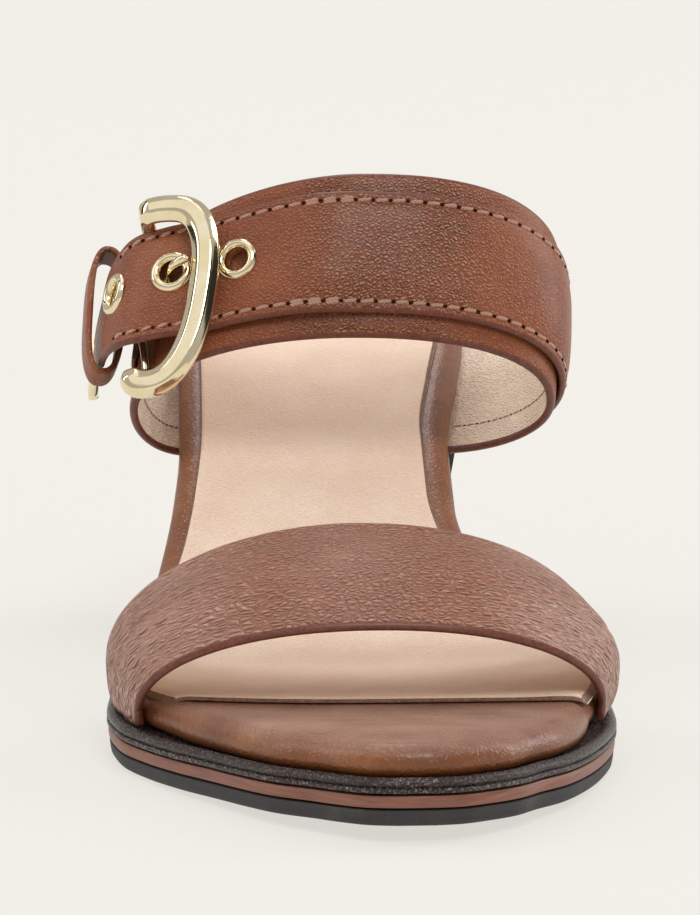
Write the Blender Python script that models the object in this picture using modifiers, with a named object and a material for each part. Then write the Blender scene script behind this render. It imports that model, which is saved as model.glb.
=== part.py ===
"""Two-strap heeled slide sandal for the right foot, toe toward -Y, medial side toward +X."""

import math
from collections import namedtuple
from functools import lru_cache

import bpy
import numpy as np

MM = 0.001
GAP = 0.3

# Looks of the materials.
Look = namedtuple("Look", "colour roughness metallic")
RUBBER = Look((0.04, 0.04, 0.04), 0.7, 0.0)
SOLE_LEATHER = Look((0.22, 0.07, 0.045), 0.5, 0.0)
WELT_LEATHER = Look((0.02, 0.014, 0.014), 0.4, 0.0)
FOOTBED_LEATHER = Look((0.30, 0.13, 0.07), 0.5, 0.0)
LINING_LEATHER = Look((0.62, 0.45, 0.33), 0.6, 0.0)
HEEL_LEATHER = Look((0.02, 0.016, 0.015), 0.4, 0.0)
VAMP_LEATHER = Look((0.27, 0.12, 0.075), 0.6, 0.0)
STRAP_LEATHER = Look((0.24, 0.085, 0.04), 0.5, 0.0)
BRASS = Look((0.75, 0.60, 0.32), 0.2, 1.0)

# Origin: the design runs back from the toe tip, the part is centred on its box.
SHIFT_X = 1.63
SHIFT_Y = -118.44

# Plan of the footbed, from the toe tip to the back of the heel, and how far the welt stands out.
PlanRow = namedtuple("PlanRow", "y lateral medial reach pull puff")
PLAN = [
    PlanRow(2.3, 2.5, 8.0, 4.0, 0.0, 1.8),
    PlanRow(3.2, -1.5, 12.0, 4.0, 0.0, 1.8),
    PlanRow(6.5, -6.0, 17.0, 4.0, 0.0, 1.8),
    PlanRow(10.5, -10.0, 21.5, 4.0, 0.0, 1.8),
    PlanRow(16.5, -16.5, 25.5, 4.0, 0.0, 1.8),
    PlanRow(23.0, -21.0, 30.5, 4.0, 0.0, 1.8),
    PlanRow(32.0, -26.5, 35.0, 4.0, 0.0, 1.6),
    PlanRow(42.0, -32.5, 38.4, 4.2, 0.0, 0.9),
    PlanRow(52.0, -37.5, 41.0, 4.4, 0.0, 0.0),
    PlanRow(62.0, -41.6, 43.4, 4.4, 0.8, 0.0),
    PlanRow(74.0, -43.2, 45.0, 4.4, 2.0, 0.0),
    PlanRow(88.0, -43.3, 41.2, 3.6, 0.7, 0.0),
    PlanRow(102.0, -41.8, 34.0, 1.5, 0.0, 0.0),
    PlanRow(118.0, -37.5, 27.0, -1.5, 0.0, 0.0),
    PlanRow(135.0, -34.0, 22.7, -3.0, 0.0, 0.0),
    PlanRow(152.0, -32.2, 22.6, -3.0, 0.0, 0.0),
    PlanRow(170.0, -31.8, 25.2, -3.0, 0.0, 0.0),
    PlanRow(190.0, -31.5, 28.5, -2.5, 0.0, 0.0),
    PlanRow(210.0, -30.0, 30.0, -1.5, 0.0, 0.0),
    PlanRow(225.0, -26.0, 27.5, -1.0, 0.0, 0.0),
    PlanRow(233.5, -19.0, 21.5, -1.0, 0.0, 0.0),
    PlanRow(237.5, -11.0, 13.0, -1.0, 0.0, 0.0),
    PlanRow(238.5, -3.0, 5.0, -1.0, 0.0, 0.0),
]
PLAN_STEPS = 2

# Height of the tread over the floor and the thickness of each layer along the sole.
ProfileRow = namedtuple("ProfileRow", "y tread outsole midsole welt pad dish")
PROFILE = [
    ProfileRow(-6.0, 3.2, 3.0, 2.3, 2.0, 6.0, -0.4),
    ProfileRow(14.0, 1.9, 3.0, 2.3, 2.0, 6.0, -0.4),
    ProfileRow(28.0, 1.1, 3.0, 2.3, 2.0, 6.0, -0.4),
    ProfileRow(42.0, 0.4, 3.0, 2.3, 2.0, 6.0, 0.0),
    ProfileRow(55.0, 0.0, 3.0, 2.3, 2.0, 6.0, 0.3),
    ProfileRow(84.0, 0.0, 3.0, 2.3, 2.0, 6.0, 0.8),
    ProfileRow(100.0, 5.2, 2.4, 2.0, 1.7, 6.0, 1.0),
    ProfileRow(115.0, 14.0, 1.8, 1.7, 1.4, 6.0, 1.2),
    ProfileRow(130.0, 24.3, 1.6, 1.5, 1.2, 6.0, 1.2),
    ProfileRow(150.0, 36.0, 1.6, 1.5, 1.2, 6.0, 1.2),
    ProfileRow(170.0, 45.4, 1.6, 1.5, 1.2, 6.0, 1.4),
    ProfileRow(190.0, 52.4, 1.6, 1.5, 1.2, 6.0, 1.6),
    ProfileRow(210.0, 57.3, 1.6, 1.5, 1.2, 6.0, 1.6),
    ProfileRow(225.0, 60.0, 1.6, 1.5, 1.2, 6.0, 1.4),
    ProfileRow(245.0, 62.0, 1.6, 1.5, 1.2, 6.0, 1.2),
]

# Edge shapes of the layers: inset from the welt line and share of the layer's thickness.
OUTSOLE_EDGE = [(2.4, 0.0), (1.2, 0.1), (0.7, 0.35), (0.5, 1.0)]
MIDSOLE_EDGE = [(0.5, 0.0), (0.3, 0.3), (0.3, 0.7), (0.5, 1.0)]
WELT_EDGE = [(0.3, 0.0), (0.0, 0.25), (0.0, 0.7), (0.5, 1.0)]

# Padded footbed: a rolled edge, then a dished top.
ROLL_DEPTH = 4.0
ROLL_LOW_DEG = -50.0
ROLL_STEPS = 6
ROLL_CENTRE = 0.38
TOP_STEPS = 6

# Insole sheet laid on the footbed.
INSOLE_FIRST_ROW = 7.6
INSOLE_BOW_ROWS = 3.0
INSOLE_BOW_LATERAL = 5.0
INSOLE_BOW_MEDIAL = -1.0
INSOLE_THICK = 0.8
INSOLE_LATERAL_BAND = 4.2
INSOLE_MEDIAL_BAND = 5.2
INSOLE_FRONT_BAND = 1.6
INSOLE_BAND_ROWS = (11.0, 13.4)
INSOLE_STATIONS = 32
INSOLE_STEPS = 8

# Block heel and its top piece.
HEEL_FIRST_ROW = 17.0
HEEL_BREAST_TOP = 180.0
HEEL_BREAST_FLOOR = 190.0
HEEL_BACK_FLOOR = 228.0
HEEL_TOP_INSET = 0.8
HEEL_WIDE_Y = 200.0
HEEL_FLOOR_HALF = 21.0
HEEL_FLOOR_CENTRE = -0.5
HEEL_POWER = 0.8
HEEL_STEPS = 6
HEEL_RING = 28
TOP_PIECE = 4.0
TOP_PIECE_LIP = 0.4

# Straps: one row per line across the strap, from its front edge to its rear edge.
StrapRow = namedtuple(
    "StrapRow",
    "across y_side y_crown y_end lateral medial z_side z_crown tuck_lateral tuck_medial "
    "power_lateral power_medial",
)
VAMP_ROWS = [
    StrapRow(0.0, 56.0, 40.0, 57.0, -42.5, 44.3, 11.5, 30.6, 0.6, 0.6, 2.15, 2.15),
    StrapRow(0.5, 74.0, 57.5, 75.0, -47.3, 48.6, 15.0, 38.3, 2.8, 4.0, 2.05, 2.15),
    StrapRow(1.0, 92.0, 76.0, 95.0, -47.6, 45.8, 15.5, 43.5, 3.6, 7.0, 1.95, 2.1),
]
INSTEP_ROWS = [
    StrapRow(0.0, 146.0, 130.0, 158.0, -42.5, 43.7, 54.0, 71.3, 12.5, 22.7, 2.0, 2.25),
    StrapRow(0.5, 156.5, 137.0, 178.0, -39.8, 45.8, 66.8, 87.4, 9.5, 20.2, 1.85, 2.3),
    StrapRow(1.0, 167.0, 144.0, 206.0, -39.0, 46.6, 80.0, 102.6, 8.5, 17.0, 1.78, 2.35),
]
STRAP_WALL = 1.8
STRAP_AROUND = 26
STRAP_UNDER = 5
STRAP_ACROSS = 6
ARC_SAMPLES = 191
ARC_NUDGE = 0.5
ACROSS_NUDGE = 0.02
VAMP_UNDER = 0.75
INSTEP_UNDER = 1.0
INSTEP_SINK = 0.45

# Buckle strap: an overlay on the instep strap, measured along its middle from the crown.
OVER_FRONT = 0.13
OVER_REAR = 0.865
OVER_WALL = 1.6
OVER_START = -88.0
OVER_END = 64.0
OVER_TAPER = 41.0
OVER_TAPER_POWER = 1.6
OVER_TIP_SHARE = 0.34
OVER_STEPS = 44
OVER_ACROSS = 6
OverRow = namedtuple("OverRow", "arc lift drift")
OVER_ROWS = [
    OverRow(-100.0, 0.3, 0.0),
    OverRow(-6.0, 0.3, 0.0),
    OverRow(8.0, 1.2, 0.0),
    OverRow(18.0, 0.9, 0.0),
    OverRow(26.0, 0.8, 0.005),
    OverRow(31.0, 1.6, 0.015),
    OverRow(38.0, 4.2, 0.035),
    OverRow(46.0, 6.4, 0.075),
    OverRow(53.0, 6.4, 0.09),
    OverRow(62.0, 8.2, 0.075),
    OverRow(80.0, 14.0, -0.02),
]

# Eyelets of the buckle strap: ring profile as radius and height over the strap.
EYELET_ARCS = (23.6, 36.2, 48.2)
EYELET_ACROSS = 0.53
EYELET_HOLE = 3.0
PUNCH_DEPTH = 4.8
PUNCH_RISE = 1.6
EYELET_PROFILE = [(2.3, -1.9), (2.7, -1.9), (2.7, 0.4), (4.35, 0.4), (4.25, 0.8), (3.4, 1.2), (2.6, 1.0)]
EYELET_STEPS = 20

# Buckle in its own plane at the middle eyelet: along the strap, across it and over it.
FRAME_TURN_DEG = 10.0
FRAME_HALF_NEAR = 9.4
FRAME_HALF_HINGE = 7.5
FRAME_HALF_ACROSS = 19.3
FRAME_OFF_ALONG = 0.9
FRAME_OFF_ACROSS = -6.5
FRAME_POWER_REAR = 4.0
FRAME_POWER_NEAR = 2.6
FRAME_POWER_FRONT = 2.3
FRAME_SKEW = 0.9
FRAME_TILT = 2.6
FRAME_STEPS = 44
FRAME_FAR = 3.3
FRAME_HINGE = -7.0
FRAME_BAR = 2.6
FRAME_TALL = 1.7
HINGE_BAR = 1.15
HINGE_START = 0.45
HINGE_FULL = 0.8
FRAME_SECTION = [(-1.0, -0.5), (-0.5, -1.0), (0.5, -1.0), (1.0, -0.5), (1.0, 0.4), (0.45, 1.0),
                 (-0.45, 1.0), (-1.0, 0.4)]

# Prong: middle line from the hinge bar, through the eyelet, onto the far bar.
ProngRow = namedtuple("ProngRow", "along over radius")
PRONG = [
    ProngRow(8.2, -7.1, 0.7),
    ProngRow(6.3, -6.8, 0.8),
    ProngRow(3.4, -5.0, 0.8),
    ProngRow(1.2, -2.2, 0.8),
    ProngRow(0.0, 0.6, 0.8),
    ProngRow(-1.4, 2.6, 0.85),
    ProngRow(-3.2, 3.6, 0.95),
    ProngRow(-4.9, 4.0, 0.8),
]
PRONG_TURN_DEG = -8.0
PRONG_SIDES = 8

# Keeper loop round the buckle strap, and the metal tip at the strap's end.
KEEPER_ARC = 56.6
KEEPER_HALF_ACROSS = 13.7
KEEPER_OFF_ACROSS = 2.9
KEEPER_CENTRE = -0.5
KEEPER_OVER = 2.5
KEEPER_UNDER = 3.0
KEEPER_HALF_LONG = 3.2
KEEPER_WALL = 1.4
KEEPER_SIDE_POWER = 0.62
KEEPER_RISE_POWER = 0.75
KEEPER_SECTION = [(0.0, 0.9), (0.3, 1.0), (0.7, 1.0), (1.0, 0.9), (1.0, -0.9), (0.7, -1.0), (0.3, -1.0),
                  (0.0, -0.9)]
KEEPER_STEPS = 32
TIP_START = 64.4
TIP_END = 73.0
TIP_HALF = 0.16
TIP_WALL = 2.4
TIP_STEPS = 5
TIP_ACROSS = 5

# Tab under the buckle strap that holds the hinge bar against the instep strap.
TabRow = namedtuple("TabRow", "arc lift")
TAB_ROWS = [TabRow(53.0, 0.5), TabRow(56.0, 0.4), TabRow(60.0, 0.3), TabRow(80.0, 0.3)]
TAB_FRONT = 0.32
TAB_REAR = 0.72
TAB_WALL = 1.0
TAB_STEPS = 12
TAB_ACROSS = 5


def curve(knots, values, at):
    """Smooth curve through the rows that never overshoots one."""
    knots = np.asarray(knots, float)
    values = np.asarray(values, float)
    at = np.asarray(at, float)
    step = np.diff(knots)
    slope = np.diff(values) / step
    tangent = np.concatenate([slope[:1], np.zeros(len(step) - 1), slope[-1:]])
    near = 2 * step[1:] + step[:-1]
    far = step[1:] + 2 * step[:-1]
    for i in range(len(step) - 1):
        if slope[i] * slope[i + 1] > 0:
            tangent[i + 1] = (near[i] + far[i]) / (near[i] / slope[i] + far[i] / slope[i + 1])
    i = np.clip(np.searchsorted(knots, at, side="right") - 1, 0, len(step) - 1)
    u = (at - knots[i]) / step[i]
    return (
        values[i] * (1 + 2 * u) * (1 - u) ** 2
        + tangent[i] * step[i] * u * (1 - u) ** 2
        + values[i + 1] * u ** 2 * (3 - 2 * u)
        + tangent[i + 1] * step[i] * u ** 2 * (u - 1)
    )


def column(table, name):
    return [getattr(row, name) for row in table]


def profile(name, y):
    return curve(column(PROFILE, "y"), column(PROFILE, name), y)


def plan(name, t):
    return curve(range(len(PLAN)), column(PLAN, name), t)


def welt_reach(side, t):
    """How far the welt stands out from the footbed's edge."""
    return float(plan("reach", t)) - (float(plan("pull", t)) if side == "medial" else 0.0)


def plan_point(side, t, inset):
    """Point of the plan outline moved inward along its own normal."""
    nudge = 0.02
    last = len(PLAN) - 1.0
    lower = max(t - nudge, 0.0)
    upper = min(t + nudge, last)
    sign = 1.0 if side == "lateral" else -1.0
    along_x = plan(side, upper) - plan(side, lower)
    along_y = plan("y", upper) - plan("y", lower)
    length = math.hypot(along_x, along_y)
    x = plan(side, t) + sign * inset * along_y / length
    y = plan("y", t) - sign * inset * along_x / length
    return float(x), float(y)


def stations():
    return np.linspace(0, len(PLAN) - 1, PLAN_STEPS * (len(PLAN) - 1) + 1)


def layer_bottom(name, y):
    """Underside height of a layer: the tread, the layers below it and the gaps between them."""
    height = profile("tread", y)
    for below in ("outsole", "midsole", "welt", "pad"):
        if below == name:
            return height
        height = height + profile(below, y) + GAP
    return height


def layer_top(name, y):
    return layer_bottom(name, y) + profile(name, y)


def make_object(name, points, faces, look):
    mesh = bpy.data.meshes.new(name)
    shifted = (np.asarray(points, float) + (SHIFT_X, SHIFT_Y, 0.0)) * MM
    mesh.from_pydata([tuple(p) for p in shifted], [], faces)
    mesh.update()
    part = bpy.data.objects.new(name, mesh)
    bpy.data.collections["slide_sandal"].objects.link(part)
    material = bpy.data.materials.new(name)
    material.use_nodes = True
    shader = material.node_tree.nodes["Principled BSDF"]
    shader.inputs["Base Color"].default_value = (*look.colour, 1.0)
    shader.inputs["Roughness"].default_value = look.roughness
    shader.inputs["Metallic"].default_value = look.metallic
    mesh.materials.append(material)
    return part


def end_strip(count):
    """Faces that close a ring whose two halves mirror each other."""
    faces = []
    for k in range(count // 2):
        face = [k, k + 1, count - 2 - k, count - 1 - k]
        face = [v for n, v in enumerate(face) if v not in face[:n]]
        if len(face) > 2:
            faces.append(tuple(face))
    return faces


def loft(name, rings, look, closed=False):
    """Closed solid through rings of equal count, with strips over its ends or joined end to end."""
    count = len(rings[0])
    points = [p for ring in rings for p in ring]
    total = len(points)
    faces = []
    for r in range(len(rings) if closed else len(rings) - 1):
        for k in range(count):
            a = r * count + k
            b = r * count + (k + 1) % count
            faces.append((a, (a + count) % total, (b + count) % total, b))
    if not closed:
        strip = end_strip(count)
        faces += strip
        faces += [tuple(total - count + v for v in face)[::-1] for face in strip]
    return make_object(name, points, faces, look)


def sole_layer(name, edge, look):
    rings = []
    for t in stations():
        sides = {}
        for side in ("lateral", "medial"):
            sides[side] = []
            for inset, share in edge:
                x, y = plan_point(side, t, inset - welt_reach(side, t))
                z = float(layer_bottom(name, y) + share * profile(name, y))
                sides[side].append((x, y, z))
        rings.append(sides["medial"] + sides["lateral"][::-1])
    return loft(name, rings, look)


def footbed_top(x, y, lateral_x, medial_x):
    """Top of the footbed: highest at the rolled edges, dished between them."""
    across = np.clip((x - lateral_x) / (medial_x - lateral_x), 0.0, 1.0)
    return layer_top("pad", y) - profile("dish", y) * 4 * across * (1 - across)


def footbed():
    rings = []
    angles = np.radians(np.linspace(ROLL_LOW_DEG, 90.0, ROLL_STEPS))
    low = math.sin(math.radians(-ROLL_LOW_DEG))
    for t in stations():
        sides = {}
        for side in ("lateral", "medial"):
            sides[side] = []
            for angle in angles:
                x, y = plan_point(side, t, ROLL_DEPTH * (1 - math.cos(angle)) - float(plan("puff", t)))
                pad = float(profile("pad", y))
                tall = pad * (1 - ROLL_CENTRE) if angle > 0 else pad * ROLL_CENTRE / low
                z = float(layer_bottom("pad", y)) + pad * ROLL_CENTRE + tall * math.sin(angle)
                sides[side].append((x, y, z))
        lateral = np.array(sides["lateral"][-1])
        medial = np.array(sides["medial"][-1])
        top = []
        for share in np.linspace(0, 1, TOP_STEPS + 1)[1:-1]:
            x, y, _ = medial + (lateral - medial) * share
            top.append((x, y, float(footbed_top(x, y, lateral[0], medial[0]))))
        rings.append(sides["medial"] + top + sides["lateral"][::-1])
    return loft("footbed", rings, FOOTBED_LEATHER)


def plan_at(side, y):
    """Plan edge at a distance from the toe tip, on the sides of the foot."""
    return float(curve(column(PLAN, "y"), column(PLAN, side), y))


def insole_band(t, behind):
    """Width of footbed left bare beside the insole: narrow under the vamp strap, wider behind it."""
    low, high = INSOLE_BAND_ROWS
    share = min(max((t - low) / (high - low), 0.0), 1.0)
    return INSOLE_FRONT_BAND + (behind - INSOLE_FRONT_BAND) * share * share * (3 - 2 * share)


def insole():
    """Sheet on the footbed whose front edge bows forward in the middle."""
    rings = []
    last = len(PLAN) - 1.0
    for t in np.linspace(INSOLE_FIRST_ROW, last, INSOLE_STATIONS):
        bow = max(0.0, 1.0 - (t - INSOLE_FIRST_ROW) / INSOLE_BOW_ROWS) ** 2
        right = np.array(plan_point("medial", t, insole_band(t, INSOLE_MEDIAL_BAND)))
        left = np.array(plan_point("lateral", t, insole_band(t, INSOLE_LATERAL_BAND)))
        medial_x = plan_point("medial", t, ROLL_DEPTH)[0]
        lateral_x = plan_point("lateral", t, ROLL_DEPTH)[0]
        low = []
        high = []
        for share in np.linspace(0, 1, INSOLE_STEPS + 1):
            x, y = right + (left - right) * share
            side = 2 * share - 1
            y += bow * (INSOLE_BOW_LATERAL if side > 0 else INSOLE_BOW_MEDIAL) * side ** 2
            z = float(footbed_top(x, y, lateral_x, medial_x)) + GAP
            low.append((x, y, z))
            high.append((x, y, z + INSOLE_THICK))
        rings.append(low[::-1] + high)
    return loft("insole", rings, LINING_LEATHER)


def heel_ring(share):
    """Ring of the heel: the floor outline blended toward the line of the heel seat."""
    ring = []
    last = len(PLAN) - 1.0
    half = HEEL_RING // 2
    for side in ("lateral", "medial"):
        points = []
        for t in np.linspace(HEEL_FIRST_ROW, last, half):
            x_top, y_top = plan_point(side, t, HEEL_TOP_INSET)
            front = plan_point(side, HEEL_FIRST_ROW, HEEL_TOP_INSET)[1]
            back = plan_point(side, last, HEEL_TOP_INSET)[1]
            along = (y_top - front) / (back - front)
            y_top = HEEL_BREAST_TOP + (back - HEEL_BREAST_TOP) * along
            y_floor = HEEL_BREAST_FLOOR + (HEEL_BACK_FLOOR - HEEL_BREAST_FLOOR) * along
            top_half = 0.5 * (plan_at("medial", HEEL_WIDE_Y) - plan_at("lateral", HEEL_WIDE_Y))
            top_half -= HEEL_TOP_INSET
            x_floor = HEEL_FLOOR_CENTRE + (x_top - HEEL_FLOOR_CENTRE) * HEEL_FLOOR_HALF / top_half
            z_top = float(layer_bottom("outsole", y_top)) - GAP
            z_floor = TOP_PIECE + GAP
            points.append((
                x_floor + (x_top - x_floor) * share ** HEEL_POWER,
                y_floor + (y_top - y_floor) * share ** HEEL_POWER,
                z_floor + (z_top - z_floor) * share,
            ))
        ring += points if side == "lateral" else points[::-1]
    return ring


def heel():
    rings = [heel_ring(share) for share in np.linspace(0, 1, HEEL_STEPS + 1)]
    return loft("heel", rings, HEEL_LEATHER)


def heel_top_piece():
    base = np.array(heel_ring(0.0))
    centre = base.mean(axis=0)
    rings = []
    for z, lip in ((0.0, TOP_PIECE_LIP), (TOP_PIECE_LIP, 0.0), (TOP_PIECE, 0.0)):
        ring = base.copy()
        reach = np.linalg.norm(ring[:, :2] - centre[:2], axis=1)
        ring[:, :2] = centre[:2] + (ring[:, :2] - centre[:2]) * ((reach - lip) / reach)[:, None]
        ring[:, 2] = z
        rings.append([tuple(p) for p in ring])
    return loft("heel_top_piece", rings, RUBBER)


def strap_point(rows, around, across, z_end):
    """Point on a strap's outer face; around runs -1 to 1 over the top and past 1 under the foot."""
    value = {name: float(curve(column(rows, "across"), column(rows, name), across))
             for name in StrapRow._fields if name != "across"}
    side = "lateral" if around < 0 else "medial"
    middle = 0.5 * (value["lateral"] + value["medial"])
    half = value[side] - middle
    turn = abs(around)
    if turn <= 1.0:
        angle = turn * math.pi / 2
        power = 2.0 / value["power_" + side]
        reach = math.sin(angle) ** power
        lift = math.cos(angle) ** power
        return (
            middle + half * reach,
            value["y_side"] + (value["y_crown"] - value["y_side"]) * lift,
            value["z_side"] + (value["z_crown"] - value["z_side"]) * lift,
        )
    angle = (turn - 1.0) * math.pi / 2
    tuck = value["tuck_" + side] * (1 - math.cos(angle))
    drop = math.sin(angle)
    low = z_end(value["y_end"])
    return (
        value[side] - math.copysign(tuck, half),
        value["y_side"] + (value["y_end"] - value["y_side"]) * drop,
        value["z_side"] + (low - value["z_side"]) * drop,
    )


def shell(name, grid, wall, look):
    """Sheet of points given a wall on its inner side."""
    rows, count = grid.shape[:2]
    faces = []
    for r in range(rows - 1):
        for k in range(count - 1):
            a = r * count + k
            faces.append((a, a + count, a + count + 1, a + 1))
    part = make_object(name, grid.reshape(-1, 3), faces, look)
    solid = part.modifiers.new("wall", "SOLIDIFY")
    solid.thickness = wall * MM
    solid.offset = -1.0
    solid.use_even_offset = True
    return part


def strap(name, rows, z_end, under, look):
    around = np.concatenate([
        np.linspace(-1 - under, -1, STRAP_UNDER + 1)[:-1],
        np.linspace(-1, 1, STRAP_AROUND + 1),
        np.linspace(1, 1 + under, STRAP_UNDER + 1)[1:],
    ])
    across = np.linspace(0, 1, STRAP_ACROSS + 1)
    grid = np.array([[strap_point(rows, a, c, z_end) for c in across] for a in around])
    return shell(name, grid, STRAP_WALL, look)


def vamp_end(y):
    return float(layer_top("welt", y)) + GAP


def instep_end(y):
    return float(layer_bottom("pad", y)) - GAP - STRAP_WALL - INSTEP_SINK


@lru_cache(maxsize=None)
def instep_arcs():
    """Turn round the instep strap and arc from its crown, lateral side positive."""
    around = np.linspace(-1 - INSTEP_UNDER, 1 + INSTEP_UNDER, ARC_SAMPLES)
    line = np.array([strap_point(INSTEP_ROWS, a, 0.5, instep_end) for a in around])
    arc = np.concatenate([[0.0], np.cumsum(np.linalg.norm(np.diff(line, axis=0), axis=1))])
    return around, np.interp(0.0, around, arc) - arc


def instep_frame(arc, across):
    """Point on the instep strap with its directions: along the arc, toward the rear, outward."""
    around, arcs = instep_arcs()

    def at(s, c):
        turn = np.interp(-s, -arcs, around)
        return np.array(strap_point(INSTEP_ROWS, turn, c, instep_end))

    point = at(arc, across)
    along = at(arc + ARC_NUDGE, across) - at(arc - ARC_NUDGE, across)
    along /= np.linalg.norm(along)
    rear = at(arc, across + ACROSS_NUDGE) - at(arc, across - ACROSS_NUDGE)
    rear -= along * rear.dot(along)
    rear /= np.linalg.norm(rear)
    return point, along, rear, np.cross(rear, along)


def over_row(name, arc):
    return float(curve(column(OVER_ROWS, "arc"), column(OVER_ROWS, name), arc))


def over_point(arc, across):
    """Point on the outer face of the buckle strap."""
    drift = over_row("drift", arc) * min(1.0, across / EYELET_ACROSS)
    point, _, _, out = instep_frame(arc, across + drift)
    return point + out * (over_row("lift", arc) + OVER_WALL)


def over_share(arc):
    """Share of the overlay's width that is left toward its tapered tip."""
    taper = min(max((arc - OVER_TAPER) / (OVER_END - OVER_TAPER), 0.0), 1.0)
    return 1.0 - (1.0 - OVER_TIP_SHARE) * taper ** OVER_TAPER_POWER


def buckle_strap():
    middle = 0.5 * (OVER_FRONT + OVER_REAR)
    half = 0.5 * (OVER_REAR - OVER_FRONT)
    grid = []
    for arc in np.linspace(OVER_END, OVER_START, OVER_STEPS + 1):
        row = []
        for side in np.linspace(-1, 1, OVER_ACROSS + 1):
            row.append(over_point(arc, middle + half * side * over_share(arc)))
        grid.append(row)
    part = shell("buckle_strap", np.array(grid), OVER_WALL, STRAP_LEATHER)
    for number, arc in enumerate(EYELET_ARCS, 1):
        origin, _, _, out = over_frame(arc)
        punch = cutter_cylinder("punch_" + str(number), origin, out)
        hole = part.modifiers.new("eyelet_" + str(number), "BOOLEAN")
        hole.operation = "DIFFERENCE"
        hole.solver = "EXACT"
        hole.object = punch
    return part


def over_frame(arc):
    """Frame on the buckle strap's outer face, on the line of its eyelets."""
    line = EYELET_ACROSS
    along = over_point(arc + ARC_NUDGE, line) - over_point(arc - ARC_NUDGE, line)
    along /= np.linalg.norm(along)
    rear = over_point(arc, line + ACROSS_NUDGE) - over_point(arc, line - ACROSS_NUDGE)
    rear -= along * rear.dot(along)
    rear /= np.linalg.norm(rear)
    return over_point(arc, line), along, rear, np.cross(rear, along)


def turned_frame(arc, degrees):
    """Frame on the buckle strap with its long directions turned about the outward one."""
    origin, along, rear, out = over_frame(arc)
    turn = math.radians(degrees)
    ahead = along * math.cos(turn) + rear * math.sin(turn)
    return origin, ahead, rear * math.cos(turn) - along * math.sin(turn), out


def cutter_cylinder(name, origin, out):
    mesh = bpy.data.meshes.new(name)
    side = np.cross(out, (0.0, 0.0, 1.0))
    side /= np.linalg.norm(side)
    other = np.cross(out, side)
    rings = []
    for height in (-PUNCH_DEPTH, PUNCH_RISE):
        for step in range(EYELET_STEPS):
            turn = 2 * math.pi * step / EYELET_STEPS
            spoke = side * math.cos(turn) + other * math.sin(turn)
            rings.append(origin + out * height + spoke * EYELET_HOLE)
    count = EYELET_STEPS
    faces = [tuple(range(count))[::-1], tuple(range(count, 2 * count))]
    for k in range(count):
        n = (k + 1) % count
        faces.append((k, n, n + count, k + count))
    shifted = (np.array(rings) + (SHIFT_X, SHIFT_Y, 0.0)) * MM
    mesh.from_pydata([tuple(p) for p in shifted], [], faces)
    mesh.update()
    punch = bpy.data.objects.new(name, mesh)
    bpy.data.collections["cutters"].objects.link(punch)
    punch.hide_render = True
    punch.display_type = "WIRE"
    return punch


def eyelets():
    for number, arc in enumerate(EYELET_ARCS, 1):
        origin, along, rear, out = over_frame(arc)
        rings = []
        for step in range(EYELET_STEPS):
            turn = 2 * math.pi * step / EYELET_STEPS
            spoke = along * math.cos(turn) + rear * math.sin(turn)
            rings.append([origin + spoke * r + out * h for r, h in EYELET_PROFILE[::-1]])
        loft("eyelet_" + str(number), rings, BRASS, closed=True)


def frame_line(turn):
    """Middle line of the buckle frame: along the strap, across it and over it."""
    rear_power = FRAME_POWER_REAR if math.cos(turn) > 0 else FRAME_POWER_NEAR
    power = 2.0 / (rear_power if math.sin(turn) > 0 else FRAME_POWER_FRONT)
    share = math.copysign(abs(math.cos(turn)) ** power, math.cos(turn))
    across = math.copysign(abs(math.sin(turn)) ** power, math.sin(turn))
    drop = min(max((share - HINGE_START) / (HINGE_FULL - HINGE_START), 0.0), 1.0)
    drop = drop * drop * (3 - 2 * drop)
    skew = 1.0 + FRAME_SKEW * across * max(share, 0.0)
    half = FRAME_HALF_HINGE if share > 0 else FRAME_HALF_NEAR
    return np.array((
        FRAME_OFF_ALONG + half * share * skew,
        FRAME_OFF_ACROSS + FRAME_HALF_ACROSS * across,
        FRAME_FAR + (FRAME_HINGE - FRAME_TILT * across - FRAME_FAR) * drop,
    )), drop


def buckle_frame():
    origin, along, rear, out = turned_frame(EYELET_ARCS[1], FRAME_TURN_DEG)
    nudge = 0.02
    rings = []
    for step in range(FRAME_STEPS):
        turn = 2 * math.pi * (step + 0.5) / FRAME_STEPS
        middle, drop = frame_line(turn)
        ahead = frame_line(turn + nudge)[0] - frame_line(turn - nudge)[0]
        spoke = np.array((ahead[1], -ahead[0], 0.0))
        spoke /= np.linalg.norm(spoke)
        crest = np.cross(spoke, ahead)
        crest /= np.linalg.norm(crest)
        wide = FRAME_BAR + (HINGE_BAR - FRAME_BAR) * drop
        tall = FRAME_TALL + (HINGE_BAR - FRAME_TALL) * drop
        ring = []
        for u, v in FRAME_SECTION:
            a, b, n = middle + spoke * u * wide + crest * v * tall
            ring.append(origin + along * a + rear * b + out * n)
        rings.append(ring[::-1])
    return loft("buckle_frame", rings, BRASS, closed=True)


def buckle_prong():
    origin, along, rear, out = turned_frame(EYELET_ARCS[1], PRONG_TURN_DEG)
    line = np.array([(row.along, row.over) for row in PRONG])
    heading = np.gradient(line, axis=0)
    rings = []
    for row, (a, n), (da, dn) in zip(PRONG, line, heading):
        length = math.hypot(da, dn)
        ring = []
        for side in range(PRONG_SIDES):
            turn = 2 * math.pi * (side + 0.5) / PRONG_SIDES
            lift = math.sin(turn) * row.radius
            point = origin + along * (a - lift * dn / length) + out * (n + lift * da / length)
            ring.append(point + rear * math.cos(turn) * row.radius)
        rings.append(ring)
    return loft("buckle_prong", rings, BRASS)


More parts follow.
